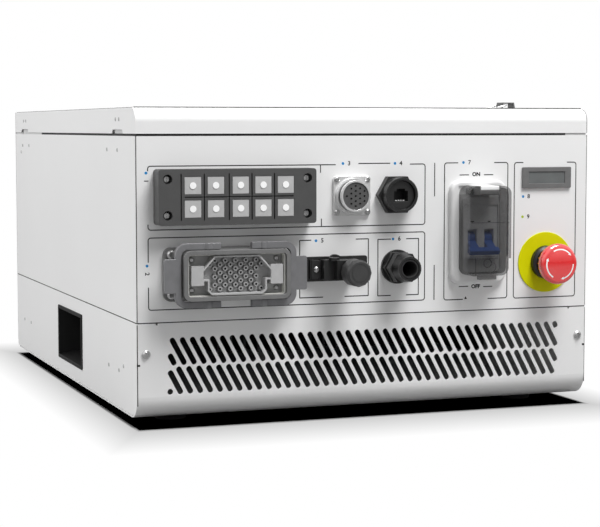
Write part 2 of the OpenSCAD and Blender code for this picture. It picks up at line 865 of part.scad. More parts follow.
// Recessed handle cup with sloping walls, drawn for the left side
module handle_cup() color(black) on_left(handle_y, handle_z) difference() {
    union() {
        round_block(handle_h + 2 * cup_rim, handle_w + 2 * cup_rim, cup_rim_d, cup_rim);
        block(handle_h, handle_w, handle_depth, -handle_depth);
    }
    hull() {
        block(handle_h - 2 * cup_wall, handle_w - 2 * cup_wall, fit, cup_rim_d);
        block(handle_h - 2 * cup_wall - 2 * cup_slope, handle_w - 2 * cup_wall - 2 * cup_slope, fit,
            cup_wall - handle_depth);
    }
}
module handle_cup_left() handle_cup();
module handle_cup_right() mirror([1, 0, 0]) handle_cup();

module rubber_feet() color(black) at_feet() difference() {
    cylinder(r1 = foot_r, r2 = foot_top_r, h = foot_h);
    rod(foot_recess_r, foot_h * foot_recess_share + over, -over);
    rod(m4_r + screw_gap, foot_h + 2 * over, -over);
}

module panel_locknuts() color(steel) {
    on_front(gland_x, gland_z) nut_ring(locknut_af, gland_thread_r);
    on_front(data_x, data_z) nut_ring(data_af - 4 * fit, data_thread_r);
    on_front(stop_x, stop_z) nut_ring(locknut_af - 2 * fit, barrel_r);
}
module nut_ring(across, r) difference() {
    hex(across, locknut_d, -sheet - locknut_d);
    rod(r + fit / 2, locknut_d + 2 * over, -sheet - locknut_d - over);
}

// Lashing rings: a raised strap with two feet, and a rod loop that turns in it
ring_x = right_x - ring_from_right;
ring_places = [front_y + ring_from_end, rear_y - ring_from_end];
ring_room = strap_w - 4 * strap_t;
ring_up = strap_h - strap_t - play - ring_rod_r;
ring_lean = asin((ring_up - ring_rod_r - fit) / ring_reach);
strap_hole_x = strap_w / 2 + strap_foot / 2;
module strap_profile() difference() {
    polygon([
        [-strap_w / 2 - strap_foot, 0], [strap_w / 2 + strap_foot, 0],
        [strap_w / 2 + strap_foot, strap_t], [strap_w / 2, strap_t],
        [strap_w / 2 - strap_t, strap_h], [strap_t - strap_w / 2, strap_h],
        [-strap_w / 2, strap_t], [-strap_w / 2 - strap_foot, strap_t]
    ]);
    translate([-ring_room / 2, -over]) square([ring_room, strap_h - strap_t + over]);
}
module lid_ring_straps() color(dark) for (y = ring_places) translate([ring_x, y, lid_top]) difference() {
    rotate([90, 0, 0]) translate([0, 0, -strap_l / 2]) linear_extrude(height = strap_l) strap_profile();
    for (i = [-1, 1]) translate([i * strap_hole_x, 0, 0]) rod(rivet_r + screw_gap, strap_h, -over);
}
module ring_corner() rotate_extrude(angle = 90) translate([ring_bend_r, 0]) circle(r = ring_rod_r, $fn = 24);
module lashing_ring(y) color(steel)
    translate([ring_x - ring_shift, y, lid_top + ring_up]) rotate([0, -ring_lean, 0]) {
        half = ring_l / 2;
        for (x = [-ring_reach, 0]) translate([x, ring_bend_r - half, 0]) rotate([-90, 0, 0])
            cylinder(r = ring_rod_r, h = ring_l - 2 * ring_bend_r, $fn = 24);
        for (j = [-1, 1]) translate([ring_bend_r - ring_reach, j * half, 0]) rotate([0, 90, 0])
            cylinder(r = ring_rod_r, h = ring_reach - 2 * ring_bend_r, $fn = 24);
        translate([-ring_bend_r, half - ring_bend_r, 0]) ring_corner();
        translate([ring_bend_r - ring_reach, half - ring_bend_r, 0]) rotate(90) ring_corner();
        translate([ring_bend_r - ring_reach, ring_bend_r - half, 0]) rotate(180) ring_corner();
        translate([-ring_bend_r, ring_bend_r - half, 0]) rotate(270) ring_corner();
    }
module lid_ring_front() lashing_ring(ring_places[0]);
module lid_ring_rear() lashing_ring(ring_places[1]);

// Signal cable entry plate with ten square grommets
cable_open_w = 4 * grommet_pitch_x + grommet_split + grommet_side + 2 * fit;
cable_open_h = grommet_pitch_z + grommet_side + 2 * fit;
cable_groove_h = 2 * grommet_pitch_z;
function column_x(i) = grommet_shift + (i - 2) * grommet_pitch_x - (i < 2 ? grommet_split : 0);
module at_grommets() for (i = [0 : 4], j = [-0.5, 0.5])
    translate([column_x(i), j * grommet_pitch_z, 0]) children();
module cable_plate() color(dark) on_front(cable_x, cable_z) difference() {
    round_block(cable_w, cable_h, cable_d, cable_r);
    at_grommets() block(grommet_side + 2 * fit, grommet_side + 2 * fit, cable_d + 2 * over, -over);
    for (i = [0 : 4])
        translate([column_x(i) - grommet_side / 2 - fit - groove_gap - groove_w, -cable_groove_h / 2, cable_d - groove_d])
            cube([groove_w, cable_groove_h, groove_d + over]);
    translate([column_x(0) - grommet_side / 2, -groove_cross_w / 2, cable_d - groove_d])
        cube([cable_open_w - 2 * fit, groove_cross_w, groove_d + over]);
    four_corners(cable_hole_x, cable_hole_z) {
        rod(m4_r + screw_gap, cable_d + 2 * over, -over);
        rod(cable_sink_r, cable_sink_d + over, cable_d - cable_sink_d);
    }
}
module cable_grommets() color("darkgray") on_front(cable_x, cable_z) at_grommets() {
    block(grommet_side, grommet_side, cable_d - fit);
    rod(grommet_dot_r, grommet_dot_h + fit, cable_d - fit - fit);
}

// Axis port
axis_in_w = axis_w - 2 * axis_wall;
axis_in_h = axis_h - 2 * axis_wall;
module axis_housing() color(grey) on_front(axis_x, axis_z) difference() {
    union() {
        round_block(axis_flange_w, axis_flange_h, axis_flange_d, axis_r);
        round_block(axis_w, axis_h, axis_d, axis_r);
        for (i = [-1, 1], j = [-1, 1]) translate([i * lever_pin_x, j * axis_h / 2, lever_pin_z])
            rotate([-90, 0, 0]) translate([0, 0, j > 0 ? 0 : -pin_l]) cylinder(r = lever_pin_r, h = pin_l);
    }
    round_block(axis_in_w, axis_in_h, axis_d, axis_r - axis_wall, axis_flange_d - fit);
    block(insert_tail_w + 2 * insert_gap, insert_tail_h + 2 * insert_gap, axis_d, -over);
    four_corners(axis_hole_x, axis_hole_z) rod(m4_r + screw_gap, axis_flange_d + 2 * over, -over);
}
pin_l = lever_side_gap + lever_arm_w + fit;
module axis_seal() color("gainsboro") on_front(axis_x, axis_z) difference() {
    round_block(axis_in_w - fit, axis_in_h - fit, seal_d, axis_r - axis_wall - fit / 2, seal_place);
    round_block(axis_in_w - 2 * seal_w, axis_in_h - 2 * seal_thin, seal_d + 2 * over, axis_r - axis_wall - seal_w,
        seal_place - over);
}
module shroud_outline(inset) {
    hw = shroud_half_w - inset;
    lw = shroud_low_half_w - inset;
    hh = shroud_half_h - inset;
    tw = shroud_top_half_w - inset / 2;
    c = shroud_corner - inset / 2;
    polygon([
        [-tw, hh], [tw, hh], [hw, shroud_shoulder_z], [hw, shroud_step_z + inset],
        [lw, shroud_step_z + inset], [lw, c - hh], [lw - c, -hh], [c - lw, -hh], [-lw, c - hh],
        [-lw, shroud_step_z + inset], [-hw, shroud_step_z + inset], [-hw, shroud_shoulder_z]
    ]);
}
module axis_insert() color("lightgray") on_front(axis_x, axis_z) difference() {
    union() {
        round_block(axis_in_w - 2 * insert_gap, axis_in_h - 2 * insert_gap, insert_base_d - axis_flange_d,
            axis_r - axis_wall - insert_gap, axis_flange_d);
        block(insert_tail_w, insert_tail_h, insert_tail_d + axis_flange_d, -insert_tail_d);
        for (i = [-1, 1]) translate([i * (ear_reach - ear_w / 2), 0, 0])
            block(ear_w, ear_h, shroud_d - insert_base_d + over, insert_base_d - over);
        translate([0, 0, insert_base_d - over]) linear_extrude(height = shroud_d - insert_base_d + over)
            shroud_outline(0);
    }
    translate([0, 0, insert_base_d]) linear_extrude(height = shroud_d) shroud_outline(shroud_wall);
    at_contacts() rod(contact_r + fit, contact_depth + contact_h + over, insert_base_d - contact_depth);
    four_corners(insert_screw_x, insert_screw_z) rod(m3_r + screw_gap, m3_length + 2 * over, insert_base_d - m3_length - over);
}
contact_depth = 6;
// Forty contacts: five columns of four, four columns of four between them and two short outer columns
module at_contacts() for (c = [-5 : 5], row = [0 : 7]) {
    outer = abs(c) == 5;
    even = c % 2 == 0;
    if (outer ? (row == 1 || row == 7) : (even ? row % 2 == 0 : row % 2 == 1))
        translate([c * contact_pitch_x, (3.5 - row) * contact_pitch_z, 0]) children();
}
module axis_contacts() color("lightgray") on_front(axis_x, axis_z) at_contacts() difference() {
    rod(contact_r, contact_depth + contact_h, insert_base_d - contact_depth);
    rod(contact_bore_r, contact_h + over, insert_base_d);
}

// Locking lever in its open place, drawn for the left end
module lever_outline() difference() {
    translate([-lever_end - lever_bar, -lever_half - lever_arm_w])
        round_corner_rect(lever_end + lever_bar - lever_pin_x + lever_tip, 2 * (lever_half + lever_arm_w), lever_r);
    translate([-lever_end, -lever_half])
        round_corner_rect(lever_end, 2 * lever_half, lever_r - lever_bar);
}
// Rectangle from the origin whose two corners at x = 0 are round
module round_corner_rect(w, h, r) {
    translate([r, 0]) square([w - r, h]);
    translate([0, r]) square([w, h - 2 * r]);
    for (y = [r, h - r]) translate([r, y]) circle(r = r);
}
module axis_lever() color(dark) on_front(axis_x, axis_z) difference() {
    union() {
        translate([0, 0, lever_pin_z - lever_arm_d / 2]) linear_extrude(height = lever_arm_d) lever_outline();
        translate([-lever_end - lever_grip_w / 2, 0, 0])
            round_block(lever_grip_w, lever_grip_h, lever_grip_d, lever_grip_r,
                lever_pin_z + lever_arm_d / 2 - lever_grip_d);
        for (j = [-1, 1]) translate([-lever_pin_x, j * (lever_half + lever_arm_w / 2), lever_pin_z])
            rotate([90, 0, 0]) translate([0, 0, -lever_arm_w / 2]) cylinder(r = lever_boss_r, h = lever_arm_w);
    }
    for (j = [-1, 1]) translate([-lever_pin_x, j * (lever_half + lever_arm_w / 2), lever_pin_z])
        rotate([90, 0, 0]) translate([0, 0, -lever_arm_w]) cylinder(r = lever_pin_r + bore_play, h = 2 * lever_arm_w);
}
module axis_lever_left() axis_lever();
module axis_lever_right() translate([2 * (left_x + axis_x), 0, 0]) mirror([1, 0, 0]) axis_lever();

// Teach pendant port
module pendant_shell() color(steel) on_front(pendant_x, pendant_z) difference() {
    union() {
        round_block(pendant_flange, pendant_flange, pendant_flange_d, pendant_flange_r);
        rod(pendant_collar_r, pendant_collar_d);
        rod(pendant_neck_r, pendant_ring_d);
        rod(pendant_r, pendant_d - pendant_ring_d, pendant_ring_d);
        rod(pendant_tail_r, pendant_tail_d, -pendant_tail_d);
    }
    rod(pendant_bore_r, pendant_d + over, pendant_flange_d);
    rod(pendant_tail_r - sheet, pendant_tail_d + pendant_d, -pendant_tail_d - over);
    four_corners(pendant_hole, pendant_hole) rod(m3_r + screw_gap, pendant_flange_d + 2 * over, -over);
}
pin_columns = [[-2, [0]], [-1, [-1.5, -0.5, 0.5, 1.5]], [0, [-2, -1, 0, 1, 2]],
    [1, [-1.5, -0.5, 0.5, 1.5]], [2, [-1, 0, 1]]];
module pendant_insert() color(dark) on_front(pendant_x, pendant_z) difference() {
    union() {
        rod(pendant_bore_r - fit, pendant_face_d - pendant_flange_d, pendant_flange_d);
        rod(pendant_tail_r - sheet - fit, pendant_tail_d + pendant_flange_d, -pendant_tail_d);
    }
    for (column = pin_columns, row = column[1])
        translate([column[0] * pin_pitch_x, row * pin_pitch_z, pendant_face_d - pin_hole_d])
            cylinder(r = pin_hole_r, h = pin_hole_d + over, $fn = 16);
}

// Data port: a hexagon nut with a ring, and a threaded feed-through jack
module data_nut() color(black) on_front(data_x, data_z) difference() {
    union() {
        hex(data_af, data_nut_d);
        rod(data_ring_r, data_d);
    }
    rod(data_recess_r, data_d, data_face_d - sheet);
    rod(data_thread_r + fit, data_d + 2 * over, -over);
}
module data_jack() color(black) on_front(data_x, data_z) difference() {
    union() {
        rod(data_thread_r, data_tail_d + data_face_d, -data_tail_d);
        rod(data_recess_r - fit, sheet - fit, data_face_d - sheet + fit);
    }
    translate([0, -jack_key_h / 2, 0]) block(jack_w, jack_h, jack_depth + over, data_face_d - jack_depth);
    translate([0, jack_h / 2 - over, 0]) block(jack_key_w, jack_key_h + over, jack_depth + over, data_face_d - jack_depth);
}

// Signal port: flange with ribs and clamp, stepped body, threaded neck and a screw cap
module signal_flange() color(black) on_front(signal_x, signal_z) difference() {
    union() {
        round_block(signal_flange_w, signal_flange_h, signal_flange_d, signal_flange_r);
        translate([-fit, signal_bump_up, 0]) rod(signal_bump_r, signal_flange_d);
        for (i = [0 : 2]) translate([-signal_flange_w / 2 + (i + 1) * signal_rib_pitch, 0, 0])
            block(signal_rib_w, signal_block_h, signal_clamp_d - over);
        translate([-signal_block_w / 2 - signal_clamp_w / 2, 0, 0])
            block(signal_clamp_w - fit, signal_clamp_h, signal_clamp_d);
    }
    block(signal_block_w + fit, signal_block_h + fit, signal_flange_d + 2 * over, -over);
    translate([-signal_block_w / 2 - signal_clamp_w / 2, 0, 0])
        rod(m3_r + screw_gap, signal_clamp_d + 2 * over, -over);
}
module signal_body() color(black) on_front(signal_x, signal_z) difference() {
    union() {
        block(signal_block_w - fit, signal_block_h - fit, signal_step_d + signal_step_d, -signal_step_d);
        translate([signal_step_w / 2, 0, 0])
            block(signal_block_w - signal_step_w - fit, signal_block_h - fit, signal_block_d);
        translate([-signal_block_w / 2 + signal_step_w, 0, 0]) rotate([-90, 0, 0])
            translate([0, -signal_step_d, signal_block_h / 2 - over])
                cylinder(r = signal_step_w / 2, h = signal_lug_h);
        translate([signal_axis_x, signal_axis_z, 0])
            rod(signal_neck_r, signal_neck_d - signal_flange_d - fit, signal_flange_d + fit);
    }
    translate([signal_axis_x, signal_axis_z, 0]) rod(signal_bore_r, signal_neck_d, signal_flange_d);
}
module signal_cap() color(black)
    on_front(signal_x + signal_axis_x, signal_z + signal_axis_z) difference() {
        union() {
            translate([0, 0, signal_cap_start])
                cylinder(r = signal_cap_r, h = signal_cap_d - signal_cap_start, $fn = 12);
            translate([0, 0, signal_cap_d]) cylinder(r1 = signal_cap_r * cos(15), r2 = signal_face_r,
                h = signal_face_d - signal_cap_d);
        }
        rod(signal_neck_r + fit, signal_neck_d + play, 0);
        difference() {
            rod(signal_face_r * cap_line_shares[0], over, signal_face_d - cap_line_d);
            rod(signal_face_r * cap_line_shares[1], 2 * over, signal_face_d - over);
        }
    }

// Mains gland with its bore, seal and dome nut
module gland_body() color(black) on_front(gland_x, gland_z) difference() {
    union() {
        rod(gland_ring_r, gland_ring_d);
        hex(gland_hex_af, gland_hex_d);
        rod(gland_neck_r, gland_neck_d);
        rod(gland_thread_r, gland_tail_d, -gland_tail_d);
    }
    rod(gland_bore / 2, gland_tail_d + gland_d, -gland_tail_d - over);
    rod(gland_neck_r - gland_wall, gland_d, gland_nut_start);
}
module gland_seal() color(dark) on_front(gland_x, gland_z) difference() {
    rod(gland_neck_r - gland_wall - fit, gland_d - gland_nut_start - 4 * fit, gland_nut_start + fit);
    rod(gland_bore / 2, gland_d, gland_nut_start - over);
}
module gland_nut() color(black) on_front(gland_x, gland_z) difference() {
    union() {
        hex(gland_nut_af, gland_nut_hex_d - gland_nut_start, gland_nut_start);
        translate([0, 0, gland_nut_hex_d])
            cylinder(r1 = gland_nut_af / 2, r2 = gland_dome_r, h = (gland_d - gland_nut_hex_d) * 0.7);
        rod(gland_dome_r, gland_d - gland_nut_hex_d, gland_nut_hex_d);
    }
    rod(gland_neck_r + bore_play, gland_neck_d + play, 0);
    rod(gland_neck_r - gland_wall + play, gland_d + over, 0);
}

// Breaker unit
// The surround is hollowed beside the hinge, where the cover's top corner swings
cover_swing_r = norm([cover_top - hinge_up, hinge_out - cover_back]) + play;
swing_w = cover_w / 2 + play - hinge_w / 2;
// The white nose of the hinge shows in the cover's notch and stays inside the arc of the cover's front wall
hinge_nose_r = cover_d - cover_wall - play - hinge_out;
hinge_nose_w = cover_notch_w - 2 * play;
hinge_nose_top = surround_h / 2 - surround_rim;
module hinge_nose() intersection() {
    translate([-hinge_nose_w / 2, hinge_up, hinge_out]) rotate([0, 90, 0]) cylinder(r = hinge_nose_r, h = hinge_nose_w);
    translate([0, (hinge_nose_top + hinge_up - hinge_r) / 2, 0])
        block(hinge_nose_w, hinge_nose_top - hinge_up + hinge_r, cover_d);
}
module breaker_surround() color("white") on_front(power_x, breaker_z) difference() {
    union() {
        round_block(surround_w, surround_h, surround_base_d, surround_r);
        translate([0, (surround_frame_top + surround_frame_low) / 2, 0])
            round_block(surround_frame_w, surround_frame_top - surround_frame_low, surround_rise_d, surround_frame_r);
        translate([-hinge_w / 2, hinge_up - hinge_r, 0]) cube([hinge_w, 2 * hinge_r, hinge_out]);
        translate([-hinge_w / 2, hinge_up, hinge_out]) rotate([0, 90, 0]) cylinder(r = hinge_r, h = hinge_w);
        hinge_nose();
    }
    for (x = [-hinge_w / 2 - swing_w, hinge_w / 2]) translate([x, hinge_up, hinge_out]) rotate([0, 90, 0])
        cylinder(r = cover_swing_r, h = swing_w);
    breaker_window();
    translate([0, nose_z, 0]) block(poles * pole_w + 2 * fit, nose_h + 2 * fit, surround_rise_d + 2 * over, -over);
    translate([-hinge_w / 2 - over, hinge_up, hinge_out]) rotate([0, 90, 0])
        cylinder(r = hinge_pin_r + bore_play, h = hinge_pin_l + over);
    translate([hinge_w / 2 - hinge_pin_l, hinge_up, hinge_out]) rotate([0, 90, 0])
        cylinder(r = hinge_pin_r + bore_play, h = hinge_pin_l + over);
}
cover_h = cover_top - cover_low;
hinge_post_w = 4;
// Extrudes a profile drawn as [up, out] across the panel
module across(width) translate([-width / 2, 0, 0]) along_x(width) children();
module cover_outline(inset) {
    deep = cover_d - cover_back + inset;
    translate([cover_low + inset, cover_back - 2 * inset]) square([cover_h - 2 * inset, deep - cover_step_d]);
    translate([cover_step_z + inset, cover_back - 2 * inset])
        square([cover_top - cover_step_z - 2 * inset, deep]);
}
module cover_solid(inset) intersection() {
    translate([0, (cover_top + cover_low) / 2, 0])
        round_block(cover_w - 2 * inset, cover_h - 2 * inset, cover_d, cover_r - inset);
    across(cover_w) cover_outline(inset);
}
module cover_posts() for (i = [-1, 1]) translate([i * (hinge_w / 2 + play + hinge_post_w / 2), hinge_up, 0])
    block(hinge_post_w, 2 * hinge_r, hinge_out + hinge_r - cover_back, cover_back);
module cover_pins() for (i = [-1, 1]) translate([0, hinge_up, hinge_out]) mirror([i < 0 ? 1 : 0, 0, 0])
    translate([hinge_w / 2 - hinge_pin_l + play, 0, 0]) rotate([0, 90, 0])
        cylinder(r = hinge_pin_r, h = hinge_pin_l + over);
module breaker_cover() color([0.3, 0.3, 0.3, 0.6]) on_front(power_x, breaker_z) {
    difference() {
        union() {
            cover_solid(0);
            translate([-cover_tab_w / 2, cover_low - cover_tab_h, cover_d - cover_step_d - 3 * cover_wall])
                cube([cover_tab_w, cover_tab_h + cover_wall, 3 * cover_wall]);
            translate([cover_boss_x, (cover_low + cover_step_z) / 2, 0])
                rod(cover_boss_r, cover_boss_d + over, cover_d - cover_step_d - over);
        }
        difference() {
            cover_solid(cover_wall);
            cover_posts();
        }
        translate([-hinge_w / 2 - play, hinge_up - hinge_r - play, 0])
            cube([hinge_w + 2 * play, 2 * hinge_r + cover_wall + over, hinge_out + hinge_r + cover_wall]);
        translate([-cover_notch_w / 2, cover_top - cover_notch_h, 0]) cube([cover_notch_w, cover_notch_h + over, cover_d + over]);
    }
    cover_pins();
}
module breaker_body() color("white") on_front(power_x, breaker_z + nose_z) difference() {
    union() {
        block(poles * pole_w, nose_h, nose_d + breaker_body_d, -breaker_body_d);
        block(poles * pole_w, breaker_body_h, breaker_body_d - sheet - 2 * fit, -breaker_body_d);
    }
    for (i = [-0.5, 0.5]) translate([i * pole_w, toggle_z - nose_z, 0]) {
        translate([-toggle_drum_w / 2 - play, 0, toggle_out]) rotate([0, 90, 0])
            cylinder(r = toggle_drum_r + play, h = toggle_drum_w + 2 * play);
        block(toggle_drum_w + 2 * play, 2 * toggle_slot, nose_d, toggle_out);
    }
}
// Half length of the slot that the toggle's finger needs at the face of the nose
toggle_slot = (nose_d - toggle_out) * tan(toggle_rest_angle) + toggle_finger_d / 2 / cos(toggle_rest_angle) + play;
module breaker_toggle() color([0.2, 0.33, 0.6]) on_front(power_x, breaker_z + toggle_z)
    translate([0, 0, toggle_out]) rotate([toggle_rest_angle, 0, 0]) {
        for (i = [-0.5, 0.5]) translate([i * pole_w - toggle_drum_w / 2, 0, 0]) {
            rotate([0, 90, 0]) cylinder(r = toggle_drum_r, h = toggle_drum_w);
            translate([(toggle_drum_w - toggle_finger_w) / 2, -toggle_finger_d / 2, 0])
                cube([toggle_finger_w, toggle_finger_d, toggle_reach - over]);
        }
        block(toggle_bar_w, toggle_finger_d, toggle_bar_h, toggle_reach - toggle_bar_h);
    }

// Display
module display_bezel() color(dark) on_front(display_x, display_z) difference() {
    union() {
        round_block(display_w, display_h, display_d, display_r);
        block(display_body_w, display_body_h, display_body_d, -display_body_d);
    }
    block(display_view_w, display_view_h, display_d, display_d - display_sink - window_d - fit);
}
module display_window() color([0.35, 0.37, 0.38]) on_front(display_x, display_z)
    block(display_view_w - fit, display_view_h - fit, window_d, display_d - display_sink - window_d);

// Emergency stop
module estop_disc() color("yellow") on_front(stop_x, stop_z) difference() {
    rod(disc_r, disc_d);
    rod(barrel_r + fit, disc_d + 2 * over, -over);
}
module estop_collar() color(black) on_front(stop_x, stop_z) difference() {
    union() {
        rod(collar_r, collar_d - collar_bevel - disc_d, disc_d);
        translate([0, 0, collar_d - collar_bevel])
            cylinder(r1 = collar_r, r2 = collar_r - collar_bevel, h = collar_bevel);
        rod(barrel_r, barrel_d + disc_d + over, -barrel_d);
    }
    rod(stem_r + bore_play, barrel_d + collar_d + 3 * over, -barrel_d - over);
}
module estop_stem() color(black) on_front(stop_x, stop_z) union() {
    rod(stem_r, stem_back + skirt_start + over, -stem_back);
    rod(stem_r - sheet, head_socket_d - skirt_start, skirt_start);
}
module estop_head() color("red") on_front(stop_x, stop_z) difference() {
    union() {
        rod(skirt_r, skirt_d - skirt_start, skirt_start);
        for (a = [0 : 20 : 340]) rotate(a) translate([skirt_r - fit, -skirt_rib_w / 2, skirt_start])
            cube([skirt_rib_h + fit, skirt_rib_w, skirt_d - skirt_start]);
        translate([0, 0, skirt_d - skirt_flare])
            cylinder(r1 = skirt_r, r2 = estop_head_d / 2, h = skirt_flare);
        rod(estop_head_d / 2, head_edge_d - skirt_d, skirt_d);
        translate([0, 0, head_edge_d]) rotate_extrude() {
            square([estop_head_d / 2 - head_round, head_d - head_edge_d]);
            intersection() {
                translate([estop_head_d / 2 - head_round, 0]) circle(r = head_round);
                square([estop_head_d / 2, head_round]);
            }
        }
    }
    rod(stem_r + play, over + play + skirt_start, 0);
    rod(stem_r - sheet + bore_play, head_socket_d + play, 0);
}
module estop_contact_block() color(black) on_front(stop_x, stop_z) difference() {
    block(block_w, block_h, block_d, -barrel_d - block_d);
    rod(stem_r + play, block_d, -stem_back - stem_travel - play);
}

// Fans at the rear of the air bay
module at_fan(side) translate([side * fan_x, rear_y - sheet - fit - fan_d, fan_z]) rotate([-90, 0, 0]) children();
module fan_frames() color(black) for (side = [-1, 1]) at_fan(side) {
    difference() {
        round_block(fan_size, fan_size, fan_d, fan_r);
        rod(fan_bore_r, fan_d + 2 * over, -over);
    }
    rod(hub_r, fan_d - hub_d - fan_gap);
    for (a = [45 : 90 : 315]) rotate(a) translate([hub_r - over, -fan_spoke_w / 2, 0])
        cube([fan_bore_r - hub_r + 2 * over, fan_spoke_w, fan_d - hub_d - fan_gap]);
    rod(fan_shaft_r, fan_d - 3 * fan_gap);
}
module fan_rotor(side) color(dark) at_fan(side) difference() {
    union() {
        rod(hub_r, hub_d - fan_gap, fan_d - hub_d);
        for (i = [0 : blade_count - 1]) rotate(i * 360 / blade_count)
            translate([hub_r - over, 0, fan_d - hub_d / 2]) rotate([blade_tilt, 0, 0])
                translate([0, -blade_w / 2, -blade_t / 2])
                    cube([fan_bore_r - hub_r + over - 1.5 * fan_gap, blade_w, blade_t]);
    }
    rod(fan_shaft_r + bore_play, fan_d - 2 * fan_gap);
}
module fan_rotor_left() fan_rotor(-1);
module fan_rotor_right() fan_rotor(1);

// Pieces inside: the drive takes the width that the board and the supply leave
shelf_top = base_top + sheet;
drive_w = body_w - drive_from_left - board_gap - board_w - supply_gap - supply_w - supply_from_right;
supply_l = body_d - supply_from_front - supply_from_rear;
module servo_drive() color(dark) translate([left_x + drive_from_left, front_y + drive_from_front, shelf_top]) difference() {
    cube([drive_w, drive_l, drive_h]);
    for (i = [1 : 5]) translate([i * drive_w / 6 - drive_w / 24, -over, drive_h * 0.3])
        cube([drive_w / 12, drive_l * 0.05, drive_h * 0.4]);
}
module heat_sink() color("silver") translate([-sink_w / 2, front_y + drive_from_front, base_top - sink_h]) {
    translate([0, 0, sink_h - sink_base]) cube([sink_w, sink_l, sink_base]);
    for (i = [0 : sink_fins - 1]) translate([i * (sink_w - sink_fin_t) / (sink_fins - 1), 0, 0])
        cube([sink_fin_t, sink_l, sink_h - sink_base + over]);
}
module power_supply() color("silver")
    translate([right_x - supply_from_right - supply_w, front_y + supply_from_front, shelf_top]) difference() {
        cube([supply_w, supply_l, supply_h]);
        for (i = [1 : 8]) translate([-over, (i * supply_l - vent_w) / 9, supply_h * 0.3])
            cube([2 * over, vent_w, supply_h * 0.5]);
    }
module at_board()
    translate([left_x + drive_from_left + drive_w + board_gap, front_y + board_from_front, shelf_top]) children();
module at_standoffs() for (x = [standoff_inset, board_w - standoff_inset], y = [standoff_inset, board_l - standoff_inset])
    translate([x, y, 0]) children();
module board_standoffs() color("gold") at_board() at_standoffs() cylinder(r = standoff_r, h = standoff_h, $fn = 6);
module control_board() color("darkgreen") at_board() difference() {
    union() {
        translate([0, 0, standoff_h]) cube([board_w, board_l, board_t]);
        translate([board_w * 0.25, board_l * 0.3, standoff_h + board_t / 2])
            cube([board_w * 0.5, board_l * 0.25, board_t * 5]);
        translate([board_w * 0.2, board_l * 0.85, standoff_h + board_t / 2])
            cube([board_w * 0.6, board_l * 0.08, board_t * 7]);
    }
    at_standoffs() rod(m3_r, standoff_h + board_t + over, 0);
}
module line_filter() color("silver")
    translate([right_x - filter_from_right - filter_w, front_y + filter_from_front, shelf_top]) {
        cube([filter_w, filter_l, filter_h]);
        for (i = [1 : 3]) translate([i * filter_w / 4, 0, filter_h * 0.6]) rotate([90, 0, 0])
            cylinder(r = filter_stud_r, h = filter_stud_l);
    }

base_floor();
base_side_left();
base_side_right();
base_front_grille();
mid_shelf();
side_panel_left();
side_panel_right();
front_panel();
rear_panel();
lid();
lid_gasket();
lid_brackets();
handle_cup_left();
handle_cup_right();
rubber_feet();
panel_screws_m4();
panel_screws_m3();
side_rivets();
panel_locknuts();
lid_ring_straps();
lid_ring_front();
lid_ring_rear();
cable_plate();
cable_grommets();
axis_housing();
axis_seal();
axis_insert();
axis_contacts();
axis_lever_left();
axis_lever_right();
pendant_shell();
pendant_insert();
data_nut();
data_jack();
signal_flange();
signal_body();
signal_cap();
gland_body();
gland_seal();
gland_nut();
breaker_surround();
breaker_cover();
breaker_body();
breaker_toggle();
display_bezel();
display_window();
estop_disc();
estop_collar();
estop_stem();
estop_head();
estop_contact_block();
fan_frames();
fan_rotor_left();
fan_rotor_right();
servo_drive();
heat_sink();
power_supply();
control_board();
board_standoffs();
line_filter();
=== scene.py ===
# %% [markdown]
# # A robot controller cabinet
#
# The real cabinet is folded sheet steel with a powder coat. Its front panel carries the plugs, the breaker and
# the stop button, and a slotted grille lets air in below. The solid part gives every plate, port and joint at
# its real size, so this script keeps those solids and works on what they can't show: rounded edges, printing,
# and the finish of each material.

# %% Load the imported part
import json
import math

import bmesh
import bpy
from mathutils import Matrix, Vector

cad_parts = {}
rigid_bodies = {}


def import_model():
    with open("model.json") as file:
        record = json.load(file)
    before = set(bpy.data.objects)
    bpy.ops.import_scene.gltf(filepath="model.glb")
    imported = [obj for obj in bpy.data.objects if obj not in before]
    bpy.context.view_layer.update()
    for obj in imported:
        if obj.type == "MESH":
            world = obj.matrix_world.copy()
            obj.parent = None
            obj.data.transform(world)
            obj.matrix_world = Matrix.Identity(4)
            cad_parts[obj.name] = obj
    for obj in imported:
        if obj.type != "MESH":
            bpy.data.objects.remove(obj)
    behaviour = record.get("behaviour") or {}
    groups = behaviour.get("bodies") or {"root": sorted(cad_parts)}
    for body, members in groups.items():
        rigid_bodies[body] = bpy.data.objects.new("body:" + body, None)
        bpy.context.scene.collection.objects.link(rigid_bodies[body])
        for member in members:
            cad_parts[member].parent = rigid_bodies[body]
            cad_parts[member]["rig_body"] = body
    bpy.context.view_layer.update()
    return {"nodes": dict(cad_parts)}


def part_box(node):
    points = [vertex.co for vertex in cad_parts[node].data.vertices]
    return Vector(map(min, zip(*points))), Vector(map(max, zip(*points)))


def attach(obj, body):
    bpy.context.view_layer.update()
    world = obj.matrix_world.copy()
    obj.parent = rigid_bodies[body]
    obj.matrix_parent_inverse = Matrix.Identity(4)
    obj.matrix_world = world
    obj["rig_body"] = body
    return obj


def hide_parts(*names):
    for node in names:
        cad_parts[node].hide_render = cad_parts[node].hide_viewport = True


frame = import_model()
nodes = frame["nodes"]
mm = 0.001

# %% [markdown]
# Places on the front panel are measured from its left edge and from the seam between the panel and the grille,
# the way a draughtsperson would dimension it. One small helper turns such a place into a point of the scene.

# %% A place on the front panel
left_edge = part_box("front_panel")[0].x
panel_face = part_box("front_panel")[0].y
seam_height = 99 * mm


def on_panel(across, up, out=0.0):
    """Point on the front panel: across from its left edge, up from the seam and out of the face, in mm."""
    return Vector((left_edge + across * mm, panel_face - out * mm, seam_height + up * mm))


print("the panel's face is at y", round(panel_face, 4))

